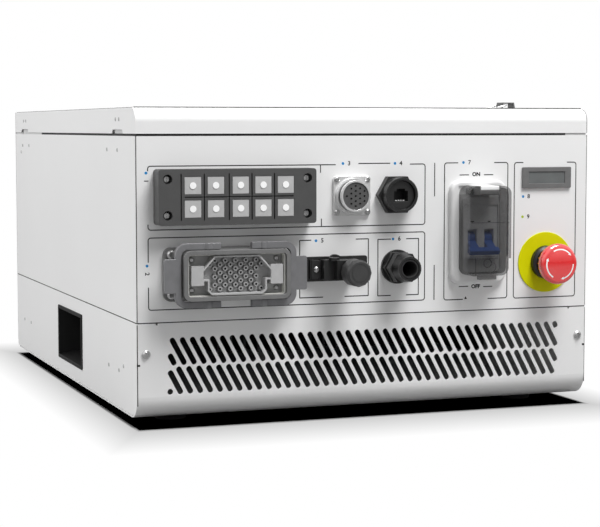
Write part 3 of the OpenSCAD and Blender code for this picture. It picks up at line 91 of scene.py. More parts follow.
# %% [markdown]
# Colours are easiest to judge on screen, where they are stored with a gamma curve, but Blender's shaders
# work in linear light. This helper takes a screen colour from 0 to 255 and gives the linear one.

# %% Screen colours as linear light


def tint(red, green=None, blue=None):
    """Linear colour with alpha from screen values of 0 to 255; one value alone is a grey."""
    values = (red, red, red) if green is None else (red, green, blue)
    linear = []
    for value in values:
        share = value / 255
        linear.append(share / 12.92 if share <= 0.04045 else ((share + 0.055) / 1.055) ** 2.4)
    return (*linear, 1.0)


# %% [markdown]
# Every finish on this cabinet has the same make-up: a colour that drifts a little from patch to patch, a
# roughness that follows a finer pattern, and a bump for the grain that a fingertip would feel. The patterns
# read Object coordinates, which are metres here, so a grain of 900 repeats about once a millimetre.

# %% A finish with patches, sheen and grain


def finish(name, colour, roughness, metallic=0.0, drift=0.03, patch=25.0, grain=900.0, depth=0.02, uneven=0.06,
           stretch=(1, 1, 1), shine=0.5):
    """Material with a drifting colour, an uneven sheen and a fine grain; depth is the bump in mm."""
    material = bpy.data.materials.new(name)
    material.use_nodes = True
    tree = material.node_tree
    shader = tree.nodes["Principled BSDF"]
    shader.inputs["Metallic"].default_value = metallic
    shader.inputs["Specular IOR Level"].default_value = shine
    place = tree.nodes.new("ShaderNodeTexCoord")
    scale = tree.nodes.new("ShaderNodeMapping")
    scale.inputs["Scale"].default_value = stretch
    tree.links.new(place.outputs["Object"], scale.inputs["Vector"])

    patches = tree.nodes.new("ShaderNodeTexNoise")
    patches.inputs["Scale"].default_value = patch
    patches.inputs["Detail"].default_value = 3.0
    tree.links.new(place.outputs["Object"], patches.inputs["Vector"])
    shades = tree.nodes.new("ShaderNodeValToRGB")
    shades.color_ramp.elements[0].position = 0.3
    shades.color_ramp.elements[1].position = 0.7
    shades.color_ramp.elements[0].color = [part * (1 - drift) for part in colour[:3]] + [1.0]
    shades.color_ramp.elements[1].color = [min(1.0, part * (1 + drift)) for part in colour[:3]] + [1.0]
    tree.links.new(patches.outputs["Fac"], shades.inputs["Fac"])
    tree.links.new(shades.outputs["Color"], shader.inputs["Base Color"])

    grains = tree.nodes.new("ShaderNodeTexNoise")
    grains.inputs["Scale"].default_value = grain
    grains.inputs["Detail"].default_value = 2.0
    tree.links.new(scale.outputs["Vector"], grains.inputs["Vector"])
    sheen = tree.nodes.new("ShaderNodeMapRange")
    sheen.inputs["From Min"].default_value = 0.3
    sheen.inputs["From Max"].default_value = 0.7
    sheen.inputs["To Min"].default_value = max(0.02, roughness - uneven)
    sheen.inputs["To Max"].default_value = min(1.0, roughness + uneven)
    tree.links.new(grains.outputs["Fac"], sheen.inputs["Value"])
    tree.links.new(sheen.outputs["Result"], shader.inputs["Roughness"])

    bump = tree.nodes.new("ShaderNodeBump")
    bump.inputs["Strength"].default_value = 0.5
    bump.inputs["Distance"].default_value = depth * mm
    tree.links.new(grains.outputs["Fac"], bump.inputs["Height"])
    tree.links.new(bump.outputs["Normal"], shader.inputs["Normal"])
    return material


# %% [markdown]
# The powder coat is a thick, baked paint: nearly white, satin, with a very fine orange-peel grain. Plated
# screws and shafts are metal with a directional grain, so their noise is stretched along one axis.

# %% Paint and metals
case_paint = finish("case_paint", tint(233), 0.42, drift=0.012, patch=6, grain=1500, depth=0.012, uneven=0.05)
inner_paint = finish("inner_paint", tint(196), 0.5, drift=0.02, patch=6, grain=1500, depth=0.012)
plated_steel = finish("plated_steel", tint(190), 0.3, metallic=1.0, drift=0.04, patch=300, grain=2500, depth=0.01,
                      stretch=(1, 1, 6))
chrome = finish("chrome_shell", tint(232), 0.16, metallic=0.55, drift=0.02, patch=200, grain=1200, depth=0.004,
                uneven=0.03)
aluminium = finish("aluminium", tint(200), 0.38, metallic=1.0, drift=0.03, patch=60, grain=1600, depth=0.02,
                   stretch=(1, 8, 1))
brass = finish("brass", tint(214, 176, 96), 0.3, metallic=1.0, drift=0.05, patch=300, grain=2000, depth=0.01)
strap_steel = finish("strap_steel", tint(92), 0.38, metallic=0.6, drift=0.06, patch=150, grain=1400, depth=0.02)
print("paint and metals are ready")

# %% [markdown]
# The ports are moulded or die-cast. A moulding tool leaves a fine, even texture; the cast housing is coarser
# and dull; rubber is rougher still and almost black. Depths are in hundredths of a millimetre.

# %% Plastics, castings and rubber
housing_grey = finish("housing_grey", tint(116), 0.5, metallic=0.25, drift=0.06, patch=120, grain=1100, depth=0.05)
lever_dark = finish("lever_dark", tint(120, 120, 122), 0.45, metallic=0.3, drift=0.07, patch=120, grain=1100, depth=0.05)
insert_grey = finish("insert_grey", tint(178), 0.6, drift=0.04, patch=150, grain=1800, depth=0.03)
contact_light = finish("contact_light", tint(168), 0.4, metallic=0.3, drift=0.05, patch=400, grain=2500, depth=0.01)
seal_white = finish("seal_white", tint(214, 214, 208), 0.7, drift=0.03, patch=200, grain=1500, depth=0.03)
entry_plate = finish("entry_plate", tint(70), 0.5, drift=0.06, patch=90, grain=1500, depth=0.04)
grommet_grey = finish("grommet", tint(180), 0.62, drift=0.03, patch=150, grain=1600, depth=0.03)
grommet_dot = finish("grommet_dot", tint(254), 0.45, drift=0.02, patch=150, grain=1600, depth=0.01)
black_plastic = finish("black_plastic", tint(31), 0.36, drift=0.12, patch=120, grain=1500, depth=0.03, shine=0.45)
# The cups' black also paints the shade in the contact bores and in the pendant port's groove.
cup_black_and_painted_shade = finish("cup_black_and_painted_shade", tint(17), 0.5, drift=0.12, patch=120, grain=1500, depth=0.04, shine=0.2)
cap_black = finish("cap_black", tint(56), 0.42, drift=0.1, patch=120, grain=1500, depth=0.03)
bezel_grey = finish("bezel_grey", tint(106), 0.34, drift=0.08, patch=120, grain=1500, depth=0.02)
pendant_dark = finish("pendant_dark", tint(74), 0.55, drift=0.06, patch=200, grain=1800, depth=0.03)
# The black rubber also paints the shade in the panel's joints and along its folds and edges.
rubber = finish("rubber", tint(30), 0.78, drift=0.12, patch=100, grain=900, depth=0.06)
breaker_white = finish("breaker_white", tint(222), 0.38, drift=0.02, patch=60, grain=1400, depth=0.02)
breaker_grey = finish("breaker_grey", tint(232), 0.5, drift=0.03, patch=80, grain=1400, depth=0.03)
toggle_blue = finish("toggle_blue", tint(44, 92, 178), 0.4, drift=0.06, patch=120, grain=1500, depth=0.03)
stop_yellow = finish("stop_yellow", tint(212, 214, 0), 0.5, drift=0.02, patch=80, grain=1400, depth=0.02, shine=0.15)
stop_red = finish("stop_red", tint(236, 30, 34), 0.24, drift=0.03, patch=80, grain=900, depth=0.01, uneven=0.04)
rivet_grey = finish("rivet_grey", tint(168), 0.5, drift=0.04, patch=300, grain=1800, depth=0.02)
anodised = finish("anodised", tint(30), 0.45, metallic=0.3, drift=0.08, patch=60, grain=1600, depth=0.02)
drive_grey = finish("drive_grey", tint(86), 0.5, drift=0.05, patch=40, grain=1400, depth=0.03)
board_green = finish("board_green", tint(28, 88, 52), 0.45, drift=0.12, patch=180, grain=1600, depth=0.02)
stop_red.node_tree.nodes["Principled BSDF"].inputs["Coat Weight"].default_value = 0.9
stop_red.node_tree.nodes["Principled BSDF"].inputs["Coat Roughness"].default_value = 0.06
stop_red.node_tree.nodes["Principled BSDF"].inputs["Coat IOR"].default_value = 2.1
print("plastics, castings and rubber are ready")

# %% [markdown]
# The cover over the breaker is smoked plastic that one looks through. A partly transparent surface with a
# smooth, glossy top is enough for a wall two millimetres thick, and it survives the export better than
# refraction does. The display's window is darker and a little green.

# %% Smoked plastic and display glass
smoked = finish("smoked", tint(44), 0.16, drift=0.05, patch=60, grain=600, depth=0.004, uneven=0.04)
smoked.node_tree.nodes["Principled BSDF"].inputs["Alpha"].default_value = 0.42
# A darker, less clear copy of the smoked plastic paints the shade of the ring, slit and step in the cover.
smoked_shade_line = finish("smoked_shade_line", tint(30), 0.3, drift=0.05, patch=60, grain=600, depth=0.004)
smoked_shade_line.node_tree.nodes["Principled BSDF"].inputs["Alpha"].default_value = 0.45
display_glass = finish("display_glass", tint(102, 105, 105), 0.18, drift=0.06, patch=90, grain=900, depth=0.003)
display_glass.node_tree.nodes["Principled BSDF"].inputs["Coat Weight"].default_value = 0.5
print("see-through finishes are ready")

# %% [markdown]
# The printing on the panel is screen ink: thin, even and slightly duller than the paint under it.

# %% Inks
ink_dark = finish("ink_dark", tint(30), 0.6, drift=0.1, patch=200, grain=2000, depth=0.005, shine=0.2)
ink_blue = finish("ink_blue", tint(0, 126, 190), 0.5, drift=0.05, patch=200, grain=2000, depth=0.005)
ink_green = finish("ink_green", tint(168, 196, 40), 0.5, drift=0.05, patch=200, grain=2000, depth=0.005)
# The white ink also paints the glints on the data socket's contacts.
ink_and_glint_white = finish("ink_and_glint_white", tint(250), 0.4, drift=0.02, patch=200, grain=2000, depth=0.005)
print("inks are ready")

# %% [markdown]
# A solid keeps its own mesh, and only its finish is set. One table says which finish each solid wears, in the
# order in which the cabinet is put together, and a count at the end shows whether one was forgotten.

# %% Which solid wears which finish
wears = {
    case_paint: ["base_side_left", "base_side_right", "base_front_grille", "side_panel_left", "side_panel_right",
                 "front_panel", "rear_panel", "lid", "base_floor"],
    inner_paint: ["mid_shelf", "lid_brackets"],
    rubber: ["rubber_feet", "lid_gasket", "gland_seal"],
    cup_black_and_painted_shade: ["handle_cup_left", "handle_cup_right"],
    bezel_grey: ["display_bezel"],
    cap_black: ["signal_cap"],
    black_plastic: ["data_nut", "data_jack", "signal_flange", "signal_body",
                    "gland_body", "gland_nut", "estop_collar", "estop_stem", "estop_contact_block", "fan_frames",
                    "fan_rotor_left", "fan_rotor_right"],
    rivet_grey: ["side_rivets"],
    plated_steel: ["panel_screws_m4", "panel_screws_m3", "panel_locknuts", "lid_ring_front",
                   "lid_ring_rear", "power_supply"],
    strap_steel: ["lid_ring_straps"],
    entry_plate: ["cable_plate"],
    grommet_grey: ["cable_grommets"],
    housing_grey: ["axis_housing"],
    seal_white: ["axis_seal"],
    insert_grey: ["axis_insert"],
    contact_light: ["axis_contacts"],
    lever_dark: ["axis_lever_left", "axis_lever_right"],
    chrome: ["pendant_shell"],
    pendant_dark: ["pendant_insert"],
    breaker_white: ["breaker_surround"],
    breaker_grey: ["breaker_body"],
    smoked: ["breaker_cover"],
    toggle_blue: ["breaker_toggle"],
    display_glass: ["display_window"],
    stop_yellow: ["estop_disc"],
    stop_red: ["estop_head"],
    drive_grey: ["servo_drive"],
    anodised: ["heat_sink", "line_filter"],
    board_green: ["control_board"],
    brass: ["board_standoffs"],
}


def paint(thing, material):
    """Give an object one finish all over."""
    thing.data.materials.clear()
    thing.data.materials.append(material)


finish_of = {}
for material, names in wears.items():
    for name in names:
        paint(nodes[name], material)
        finish_of[name] = material
print(len(finish_of), "solids have a finish; without one:", sorted(set(nodes) - set(finish_of)))

# %% [markdown]
# A solid modeller leaves knife edges, and nothing looks more like a stand-in than an edge that catches no
# light. Castings and mouldings therefore get rounded edges: the solid's loose triangles are merged, flat
# areas are joined again, and the bevel operator rounds every edge that turns by more than a given angle.
# The rounded copy replaces the solid, and the solid stays behind it for the simulation.

# %% Rounded copies of solids


def corners_of(mesh, turn, wanted=None):
    """Edges where two faces meet at more than the given angle."""
    found = []
    for edge in mesh.edges:
        if len(edge.link_faces) != 2 or edge.calc_face_angle(0.0) < math.radians(turn):
            continue
        if wanted is None or wanted(edge):
            found.append(edge)
    return found


def rounded(name, radius, segments=2, turn=35.0, wanted=None, material=None):
    """Replace a solid by a copy whose corners are rounded by a radius in mm."""
    shape = bmesh.new()
    shape.from_mesh(nodes[name].data)
    bmesh.ops.remove_doubles(shape, verts=shape.verts, dist=0.004 * mm)
    bmesh.ops.dissolve_limit(shape, angle_limit=math.radians(1.0), verts=shape.verts, edges=shape.edges)
    shape.normal_update()
    corners = corners_of(shape, turn, wanted)
    bmesh.ops.bevel(shape, geom=corners, offset=radius * mm, offset_type="OFFSET", segments=segments,
                    profile=0.5, affect="EDGES", clamp_overlap=True, material=-1)
    piece = as_piece(shape, name + "_rounded", material or finish_of[name], nodes[name]["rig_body"])
    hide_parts(name)
    weights = piece.modifiers.new("even shading", "WEIGHTED_NORMAL")
    weights.keep_sharp = True
    print(name, "has", len(corners), "rounded corners and", len(piece.data.polygons), "faces")
    return piece


def as_piece(shape, name, material, body):
    """Turn a bmesh into a smooth-shaded piece that rides on a body and wears one finish."""
    mesh = bpy.data.meshes.new(name)
    shape.to_mesh(mesh)
    shape.free()
    for face in mesh.polygons:
        face.use_smooth = True
    mesh.set_sharp_from_angle(angle=math.radians(38))
    piece = bpy.data.objects.new(name, mesh)
    bpy.context.scene.collection.objects.link(piece)
    paint(piece, material)
    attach(piece, body)
    return piece


# %% [markdown]
# The die-cast port, its levers and the plastic parts each get the radius that they have in life: about one
# millimetre on the cable plate and the cast housing, less on small mouldings, and a generous one on the
# stop button's collar.

# %% Ports with rounded edges
rounded("cable_plate", 1.0, 3)
rounded("cable_grommets", 0.5, 2)
rounded("axis_housing", 0.8, 2)
rounded("axis_insert", 0.3, 1)
rounded("axis_lever_left", 0.9, 2)
rounded("axis_lever_right", 0.9, 2)
rounded("pendant_shell", 0.4, 2)
rounded("pendant_insert", 0.2, 1)
rounded("data_nut", 0.6, 2)
rounded("data_jack", 0.4, 2)
rounded("signal_flange", 0.5, 2)
rounded("signal_body", 0.6, 2)
rounded("signal_cap", 0.3, 2)
rounded("gland_body", 0.5, 2)
rounded("gland_nut", 0.5, 2)

# %% [markdown]
# The breaker's surround is a soft-edged white moulding and its cover a smoked one; both have larger radii
# than the ports, because they are made to be handled.

# %% Breaker, display and stop button with rounded edges
surround_low, surround_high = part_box("breaker_surround")


def on_the_rim(edge):
    """True for the outer front edges of the surround, away from the frame in its middle."""
    for corner in edge.verts:
        inside_x = min(corner.co.x - surround_low.x, surround_high.x - corner.co.x)
        inside_z = min(corner.co.z - surround_low.z, surround_high.z - corner.co.z)
        depth = panel_face - corner.co.y
        if depth < 6.5 * mm or depth > 8 * mm or min(inside_x, inside_z) > 4.2 * mm:
            return False
    return True


rounded("breaker_surround", 4.6, 6, turn=25, wanted=on_the_rim)
rounded("breaker_cover", 0.9, 3)
rounded("breaker_toggle", 0.8, 2)
rounded("display_bezel", 0.4, 2)
rounded("estop_collar", 0.5, 2)
rounded("estop_disc", 0.3, 1)
rounded("estop_stem", 0.4, 2)
rounded("lid_ring_straps", 0.3, 2)

# %% [markdown]
# The lid is folded from one sheet. Its front edge is already a large bend in the solid, and the two side
# edges are tight bends of two and a half millimetres, so only those long edges are rounded here.

# %% The lid's folded side edges
lid_low, lid_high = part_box("lid")


def runs_along_a_side(edge):
    """True for the outer top edges that run from front to back."""
    outer = all(abs(abs(corner.co.x) - lid_high.x) < 0.05 * mm for corner in edge.verts)
    return outer and all(corner.co.z > lid_low.z + 6 * mm for corner in edge.verts)


lid = rounded("lid", 2.4, 4, turn=30, wanted=runs_along_a_side)

# %% [markdown]
# The panel's printing is a set of thin frames with rounded corners, broken where a word or a port sits. Each
# is bent from a wire: its points are joined by edges, the corners are rounded by a vertex bevel, the wire is
# extruded out of the panel by a few hundredths of a millimetre, and solidify gives the line its width.

# %% Printed lines
ink_rise = 0.06
line_width = 0.95


def printed_line(shape, places, corner=3.0, width=line_width):
    """Add one printed line through the given panel places to a bmesh."""
    wire = bmesh.new()
    points = [wire.verts.new(on_panel(across, up, -0.02)) for across, up in places]
    for start, end in zip(points, points[1:]):
        wire.edges.new((start, end))
    inner = points[1:-1]
    if inner and corner:
        bmesh.ops.bevel(wire, geom=inner, offset=corner * mm, offset_type="OFFSET", segments=5, profile=0.5,
                        affect="VERTICES", clamp_overlap=True, material=-1)
    raised = bmesh.ops.extrude_edge_only(wire, edges=wire.edges[:])
    lifted = [part for part in raised["geom"] if isinstance(part, bmesh.types.BMVert)]
    bmesh.ops.translate(wire, verts=lifted, vec=(0, -(ink_rise + 0.02) * mm, 0))
    bmesh.ops.recalc_face_normals(wire, faces=wire.faces)
    bmesh.ops.solidify(wire, geom=wire.faces[:], thickness=width * mm)
    bmesh.ops.recalc_face_normals(wire, faces=wire.faces)
    copy = bpy.data.meshes.new("line")
    wire.to_mesh(copy)
    wire.free()
    shape.from_mesh(copy)
    bpy.data.meshes.remove(copy)


lines = bmesh.new()
printed_line(lines, [(10.8, 140), (10.8, 145), (195.8, 145)])
printed_line(lines, [(219, 145), (252, 145)], corner=0)
printed_line(lines, [(272.6, 145), (289.2, 145), (289.2, 85.4), (10.8, 85.4), (10.8, 91)])
printed_line(lines, [(180.8, 145), (180.8, 137)], corner=0)
printed_line(lines, [(180.8, 85.4), (180.8, 93.4)], corner=0)
printed_line(lines, [(10.8, 56), (10.8, 79.1), (289.2, 79.1), (289.2, 11.5), (10.8, 11.5), (10.8, 33)])
printed_line(lines, [(171, 73.6), (158.8, 73.6), (158.8, 17.9), (183, 17.9)], corner=0.7)
printed_line(lines, [(216.5, 73.6), (230, 73.6), (230, 17.9), (205, 17.9)], corner=0.7)
printed_line(lines, [(253, 72.8), (239, 72.8), (239, 17.2), (253, 17.2)], corner=0.7)
printed_line(lines, [(269, 72.8), (282.6, 72.8), (282.6, 17.2), (269, 17.2)], corner=0.7)
printed_line(lines, [(299.4, 145.5), (299.4, 113)], corner=0)
printed_line(lines, [(299.4, 46), (299.4, 11.7)], corner=0)
printed_line(lines, [(324, 145.8), (309, 145.8), (309, 10.7), (330, 10.7)])
printed_line(lines, [(363, 145.8), (378.5, 145.8), (378.5, 10.7), (357, 10.7)])
printed_line(lines, [(395, 145.6), (384.8, 145.6), (384.8, 10), (454.4, 10), (454.4, 145.6), (443.6, 145.6)])
for start, end, up in ((325.5, 335.7, 133.9), (352, 362, 133.9), (325.5, 335.7, 23.5), (352, 362, 23.5)):
    printed_line(lines, [(start, up), (end, up)], corner=0, width=0.9)
print("the printed lines have", len(lines.faces), "faces")
as_piece(lines, "panel_lines", ink_dark, "cabinet")

# %% [markdown]
# A coloured dot marks each port. A dot is a very flat disc, made from a cone with two equal radii and laid on
# the panel.

# %% Marker dots


def flat_disc(shape, centre, radius, height, sides=24, facing="X"):
    """Add a flat disc that stands out of the front panel at a point."""
    turn = Matrix.Rotation(math.radians(90), 4, facing)
    made = bmesh.ops.create_cone(shape, cap_ends=True, segments=sides, radius1=radius * mm, radius2=radius * mm,
                                 depth=height * mm, matrix=Matrix.Translation(centre) @ turn)
    return made["verts"]


blue_dots = bmesh.new()
for across, up in ((9.7, 138.3), (10.1, 52.9), (203.2, 145.6), (257, 145.3), (175.8, 72.5), (255.3, 72.4),
                   (329.7, 145.6), (395.1, 111.4)):
    flat_disc(blue_dots, on_panel(across, up, 0.02), 1.35, 0.1)
as_piece(blue_dots, "marker_dots_blue", ink_blue, "cabinet")
green_dot = bmesh.new()
flat_disc(green_dot, on_panel(394.7, 91.3, 0.02), 1.35, 0.1)
as_piece(green_dot, "marker_dot_green", ink_green, "cabinet")
print("nine dots are on the panel")

# %% [markdown]
# Beside each dot stands a plain number, and the breaker's two positions say ON and OFF. Text is made as a
# curve, turned into a mesh, and only then stood up against the panel, so that the finished piece needs no
# placement of its own.

# %% Lettering


def lettering(shape, words, centre, height, turn=0.0, width=1.0, weight=0.0):
    """Add words to a bmesh, centred on a point of the panel; the height is the capital height in mm."""
    curve = bpy.data.curves.new("words", "FONT")
    curve.body = words
    curve.size = height * mm / 0.7
    curve.align_x = "CENTER"
    curve.align_y = "CENTER"
    curve.extrude = 0.03 * mm
    curve.offset = weight * mm
    curve.resolution_u = 3
    carrier = bpy.data.objects.new("words", curve)
    bpy.context.scene.collection.objects.link(carrier)
    bpy.context.view_layer.update()
    flat = bpy.data.meshes.new_from_object(carrier.evaluated_get(bpy.context.evaluated_depsgraph_get()))
    bpy.data.objects.remove(carrier)
    stand = Matrix.Rotation(math.radians(90), 4, "X") @ Matrix.Rotation(math.radians(turn), 4, "Z")
    flat.transform(Matrix.Translation(centre) @ stand @ Matrix.Diagonal((width, 1, 1, 1)))
    shape.from_mesh(flat)
    bpy.data.meshes.remove(flat)
    bpy.data.curves.remove(curve)


words = bmesh.new()
lettering(words, "ON", on_panel(343.6, 133.9, 0.03), 3.6, width=1.05, weight=0.26)
lettering(words, "OFF", on_panel(343.8, 23.5, 0.03), 3.6, width=1.05, weight=0.26)
for number, across, up in (("3", 209.5, 145.6), ("4", 263.2, 145.3), ("5", 182.2, 72.5), ("6", 261.8, 72.4),
                           ("7", 336.2, 145.6), ("8", 401.3, 111.4), ("9", 401, 91.3)):
    lettering(words, number, on_panel(across, up, 0.03), 4.0, weight=0.14)
for number, across, up in (("1", 9.7, 131), ("2", 10.1, 45.5)):
    lettering(words, number, on_panel(across, up, 0.03), 4.0, turn=-90, weight=0.14)
arrow_points = [on_panel(across, up, 0.05) for across, up in ((331.4, 11.4), (334.6, 11.4), (333.0, 14.2))]
words.faces.new([words.verts.new(point) for point in arrow_points])
print("the lettering has", len(words.faces), "faces")
as_piece(words, "panel_lettering", ink_dark, "cabinet")

# %% [markdown]
# A joint between two painted panels looks black, because the light that falls in doesn't come out again. That
# shade is painted: a strip in the black rubber finish fills each joint to the paint.

# %% Painted shade in the joints
joint_shade = bmesh.new()
joint = 0.5
panel_low, panel_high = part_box("side_panel_left")
rear_end = panel_high.y


def joint_shade_strip(low, high):
    """Add one strip of painted joint shade between two corners."""
    low, high = Vector(low), Vector(high)
    made = bmesh.ops.create_cube(joint_shade, size=1.0)["verts"]
    bmesh.ops.scale(joint_shade, verts=made, vec=high - low)
    bmesh.ops.translate(joint_shade, verts=made, vec=(low + high) / 2)


right_edge = -left_edge
low_z, high_z = seam_height - joint * mm, seam_height + joint * mm
joint_shade_strip((left_edge - 0.05 * mm, panel_face + 2 * mm, low_z), (left_edge + 1.3 * mm, rear_end - 2 * mm, high_z))
joint_shade_strip((right_edge - 1.3 * mm, panel_face + 2 * mm, low_z), (right_edge + 0.05 * mm, rear_end - 2 * mm, high_z))
joint_shade_strip((left_edge + 0.5 * mm, panel_face - 0.05 * mm, low_z), (right_edge - 0.5 * mm, panel_face + 1.3 * mm, high_z))
print("three strips of tape fill the joints")
# The strips are painted shade, in black rubber.
as_piece(joint_shade, "painted_joint_shade", rubber, "cabinet")

# %% [markdown]
# Thin black strips paint the shade where the folded panels meet at the corners and in two notches of the base,
# and a painted outline along the lid's edges. Each line is a strip half a millimetre wide, and one quarter of a
# spin carries it round the lid's front bend.

# %% Painted shade along the folds
lines = bmesh.new()
lid_low, lid_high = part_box("lid")
base_low, base_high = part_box("base_front_grille")
bend = 13 * mm
line = 0.5 * mm
proud = 0.06 * mm


def fold_shade_line(low, high):
    """Add one straight strip of painted shade between two corners."""
    low, high = Vector(low), Vector(high)
    made = bmesh.ops.create_cube(lines, size=1.0)["verts"]
    bmesh.ops.scale(lines, verts=made, vec=high - low)
    bmesh.ops.translate(lines, verts=made, vec=(low + high) / 2)


fold_shade_line((lid_low.x + 2 * mm, lid_low.y + bend, lid_high.z - proud), (lid_high.x, lid_low.y + bend + line, lid_high.z + 1.8 * line))
fold_shade_line((lid_low.x + 2 * mm, lid_low.y + bend, lid_high.z - proud), (lid_low.x + 2 * mm + line, lid_high.y, lid_high.z + line))
fold_shade_line((lid_high.x - line, lid_low.y - proud, lid_low.z), (lid_high.x + proud, lid_low.y + line, lid_high.z - bend))
fold_shade_line((left_edge - proud, rear_end - line, seam_height), (left_edge + line, rear_end + proud, lid_high.z))
for low_z, high_z in ((seam_height + 1 * mm, lid_low.z - 2 * mm), (base_low.z + bend, seam_height - 1.5 * mm)):
    fold_shade_line((left_edge, panel_face - proud, low_z), (left_edge + 1.5 * line, panel_face + line, high_z))
    fold_shade_line((right_edge - line, panel_face - proud, low_z), (right_edge + proud, panel_face + line, high_z))
# Painted shade in a notch at each front corner of the base.
notch_z = seam_height - 40 * mm
for edge, inward in ((left_edge, 1), (right_edge, -1)):
    across = sorted((edge, edge + inward * 2.8 * mm))
    fold_shade_line((across[0], panel_face - proud, notch_z), (across[1], panel_face + line, notch_z + 1.8 * mm))
corner = [Vector((lid_high.x + x, lid_low.y + y, lid_high.z - bend)) for x, y in
          ((-line, -proud), (proud, -proud), (proud, line), (-line, line))]
ring = [lines.verts.new(place) for place in corner]
rim = [lines.edges.new((ring[index], ring[index - 1])) for index in range(4)]
bmesh.ops.spin(lines, geom=ring + rim, cent=(lid_high.x, lid_low.y + bend, lid_high.z - bend), axis=(1, 0, 0),
               angle=math.radians(-90), steps=8)
bmesh.ops.recalc_face_normals(lines, faces=lines.faces)
print("the fold lines have", len(lines.faces), "faces")
# The black rubber here is painted shade and a painted outline along the edges.
as_piece(lines, "painted_fold_shade", rubber, "cabinet")

# %% [markdown]
# White discs mark the blind centres of the ten grommets. They stand on the squares that the solid has, so
# their places come from the same pitch.

# %% Grommet discs
grommet_face = -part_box("cable_grommets")[0].y + panel_face
discs = bmesh.new()
grommet_low, grommet_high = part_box("cable_grommets")
plate_low, plate_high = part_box("cable_plate")
grommet_side = 15.8
column_split = 2
row_pitch = (grommet_high.z - grommet_low.z) / mm - grommet_side
plate_across = (plate_low.x + plate_high.x) / 2 / mm - left_edge / mm
column_shift = (grommet_low.x + grommet_high.x - plate_low.x - plate_high.x) / 2 / mm + column_split / 2
for column in range(5):
    for row in range(2):
        across = plate_across + column_shift + (column - 2) * 22 - (column_split if column < 2 else 0)
        up = 116.2 + (row - 0.5) * row_pitch
        flat_disc(discs, on_panel(across, up, grommet_face / mm + 0.02), 3.1, 0.1)
print("ten discs stand", round(grommet_face / mm, 2), "mm from the panel")
as_piece(discs, "grommet_discs", grommet_dot, "cabinet")

# %% [markdown]
# The forty contacts of the axis port are sleeves. Light would fill their shallow bores, so a black disc just
# below each mouth paints the shade of a deep bore, and the two poles of the breaker get their small black marks.

# %% Painted shade in the contact bores, and breaker marks
insert_low, insert_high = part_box("axis_contacts")
insert_middle = (insert_low + insert_high) / 2
axis_middle_z = seam_height + 44.6 * mm
# The black discs are painted shade in the bores.
bores = bmesh.new()
for column in range(-5, 6):
    for row in range(8):
        filled = row in (1, 7) if abs(column) == 5 else row % 2 == column % 2
        if filled:
            mouth = (insert_middle.x + column * 5 * mm, insert_low.y + 0.7 * mm, axis_middle_z + (3.5 - row) * 3.75 * mm)
            flat_disc(bores, Vector(mouth), 1.06, 0.4, sides=16)
print("the contacts have", len(bores.faces) // 18, "black bores")
as_piece(bores, "axis_bore_shade", cup_black_and_painted_shade, "cabinet")
toggle_low, toggle_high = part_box("breaker_toggle")
marks = bmesh.new()
for pole in (-0.5, 0.5):
    made = bmesh.ops.create_cube(marks, size=1.0)["verts"]
    bmesh.ops.scale(marks, verts=made, vec=(3.2 * mm, 0.2 * mm, 1.3 * mm))
    bmesh.ops.translate(marks, verts=made, vec=((toggle_low.x + toggle_high.x) / 2 + pole * 18 * mm,
                                                panel_face - 10.05 * mm, seam_height + (77.6 + 10.5) * mm))
as_piece(marks, "breaker_marks", ink_dark, "cabinet")

# %% [markdown]
# The stop button's head is turned on an axis that stands on the panel. Its profile is a short wire: the socket
# for the stem, the ribbed skirt, the flare and a crown that domes by just over a millimetre. A vertex bevel
# rounds the corners of the wire, and a full spin makes the body.

# %% Turned shapes on the panel


def turned(profile, centre, soft=(), steps=96):
    """Spin (radius, out) places in mm about an axis on the panel; soft lists (index, radius) to round."""
    across, up = centre
    shape = bmesh.new()
    wire = [shape.verts.new(on_panel(across + radius, up, out)) for radius, out in profile]
    for start, end in zip(wire, wire[1:]):
        shape.edges.new((start, end))
    for index, radius in soft:
        bmesh.ops.bevel(shape, geom=[wire[index]], offset=radius * mm, offset_type="OFFSET", segments=6,
                        profile=0.5, affect="VERTICES", clamp_overlap=True, material=-1)
    bmesh.ops.spin(shape, geom=shape.verts[:] + shape.edges[:], cent=on_panel(across, up), axis=(0, 1, 0),
                   angle=math.radians(360), steps=steps, use_merge=True)
    bmesh.ops.remove_doubles(shape, verts=shape.verts, dist=0.002 * mm)
    bmesh.ops.recalc_face_normals(shape, faces=shape.faces)
    return shape


# %% The stop button's head
stop_place = (420.0, 45.7)
crown_top = 33.0
crown_radius = 92.0


def crown_out(radius):
    """Height of the domed crown above the panel, in mm, at a distance from its middle."""
    return crown_top - crown_radius + math.sqrt(crown_radius ** 2 - radius ** 2)


dome = [(radius, crown_out(radius)) for radius in (0, 4, 8, 12, 15.5)]
side = [(20.0, 31.4), (20.0, 24.0), (15.0, 22.2), (15.0, 15.0), (6.4, 15.0), (6.4, 27.3), (0, 27.3)]
head = turned(dome + side, stop_place, soft=[(5, 3.4), (6, 0.8), (7, 0.6), (8, 0.4)])
for step in range(18):
    rib = bmesh.ops.create_cube(head, size=1.0)["verts"]
    bmesh.ops.scale(head, verts=rib, vec=(1.6 * mm, 7.0 * mm, 1.4 * mm))
    bmesh.ops.translate(head, verts=rib, vec=(15.1 * mm, 0, 0))
    bmesh.ops.rotate(head, verts=rib, cent=(0, 0, 0), matrix=Matrix.Rotation(math.radians(20 * step), 3, "Y"))
    bmesh.ops.translate(head, verts=rib, vec=on_panel(*stop_place, 18.6))
stop_head = as_piece(head, "stop_head", stop_red, nodes["estop_head"]["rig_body"])
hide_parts("estop_head")
print("the head is", round(stop_head.dimensions.x / mm, 1), "mm across")

# %% [markdown]
# The groove behind the front ring of the pendant port's shell lies in shade, and that shade is painted: a short
# black sleeve, turned on the port's own axis, lies in the groove.

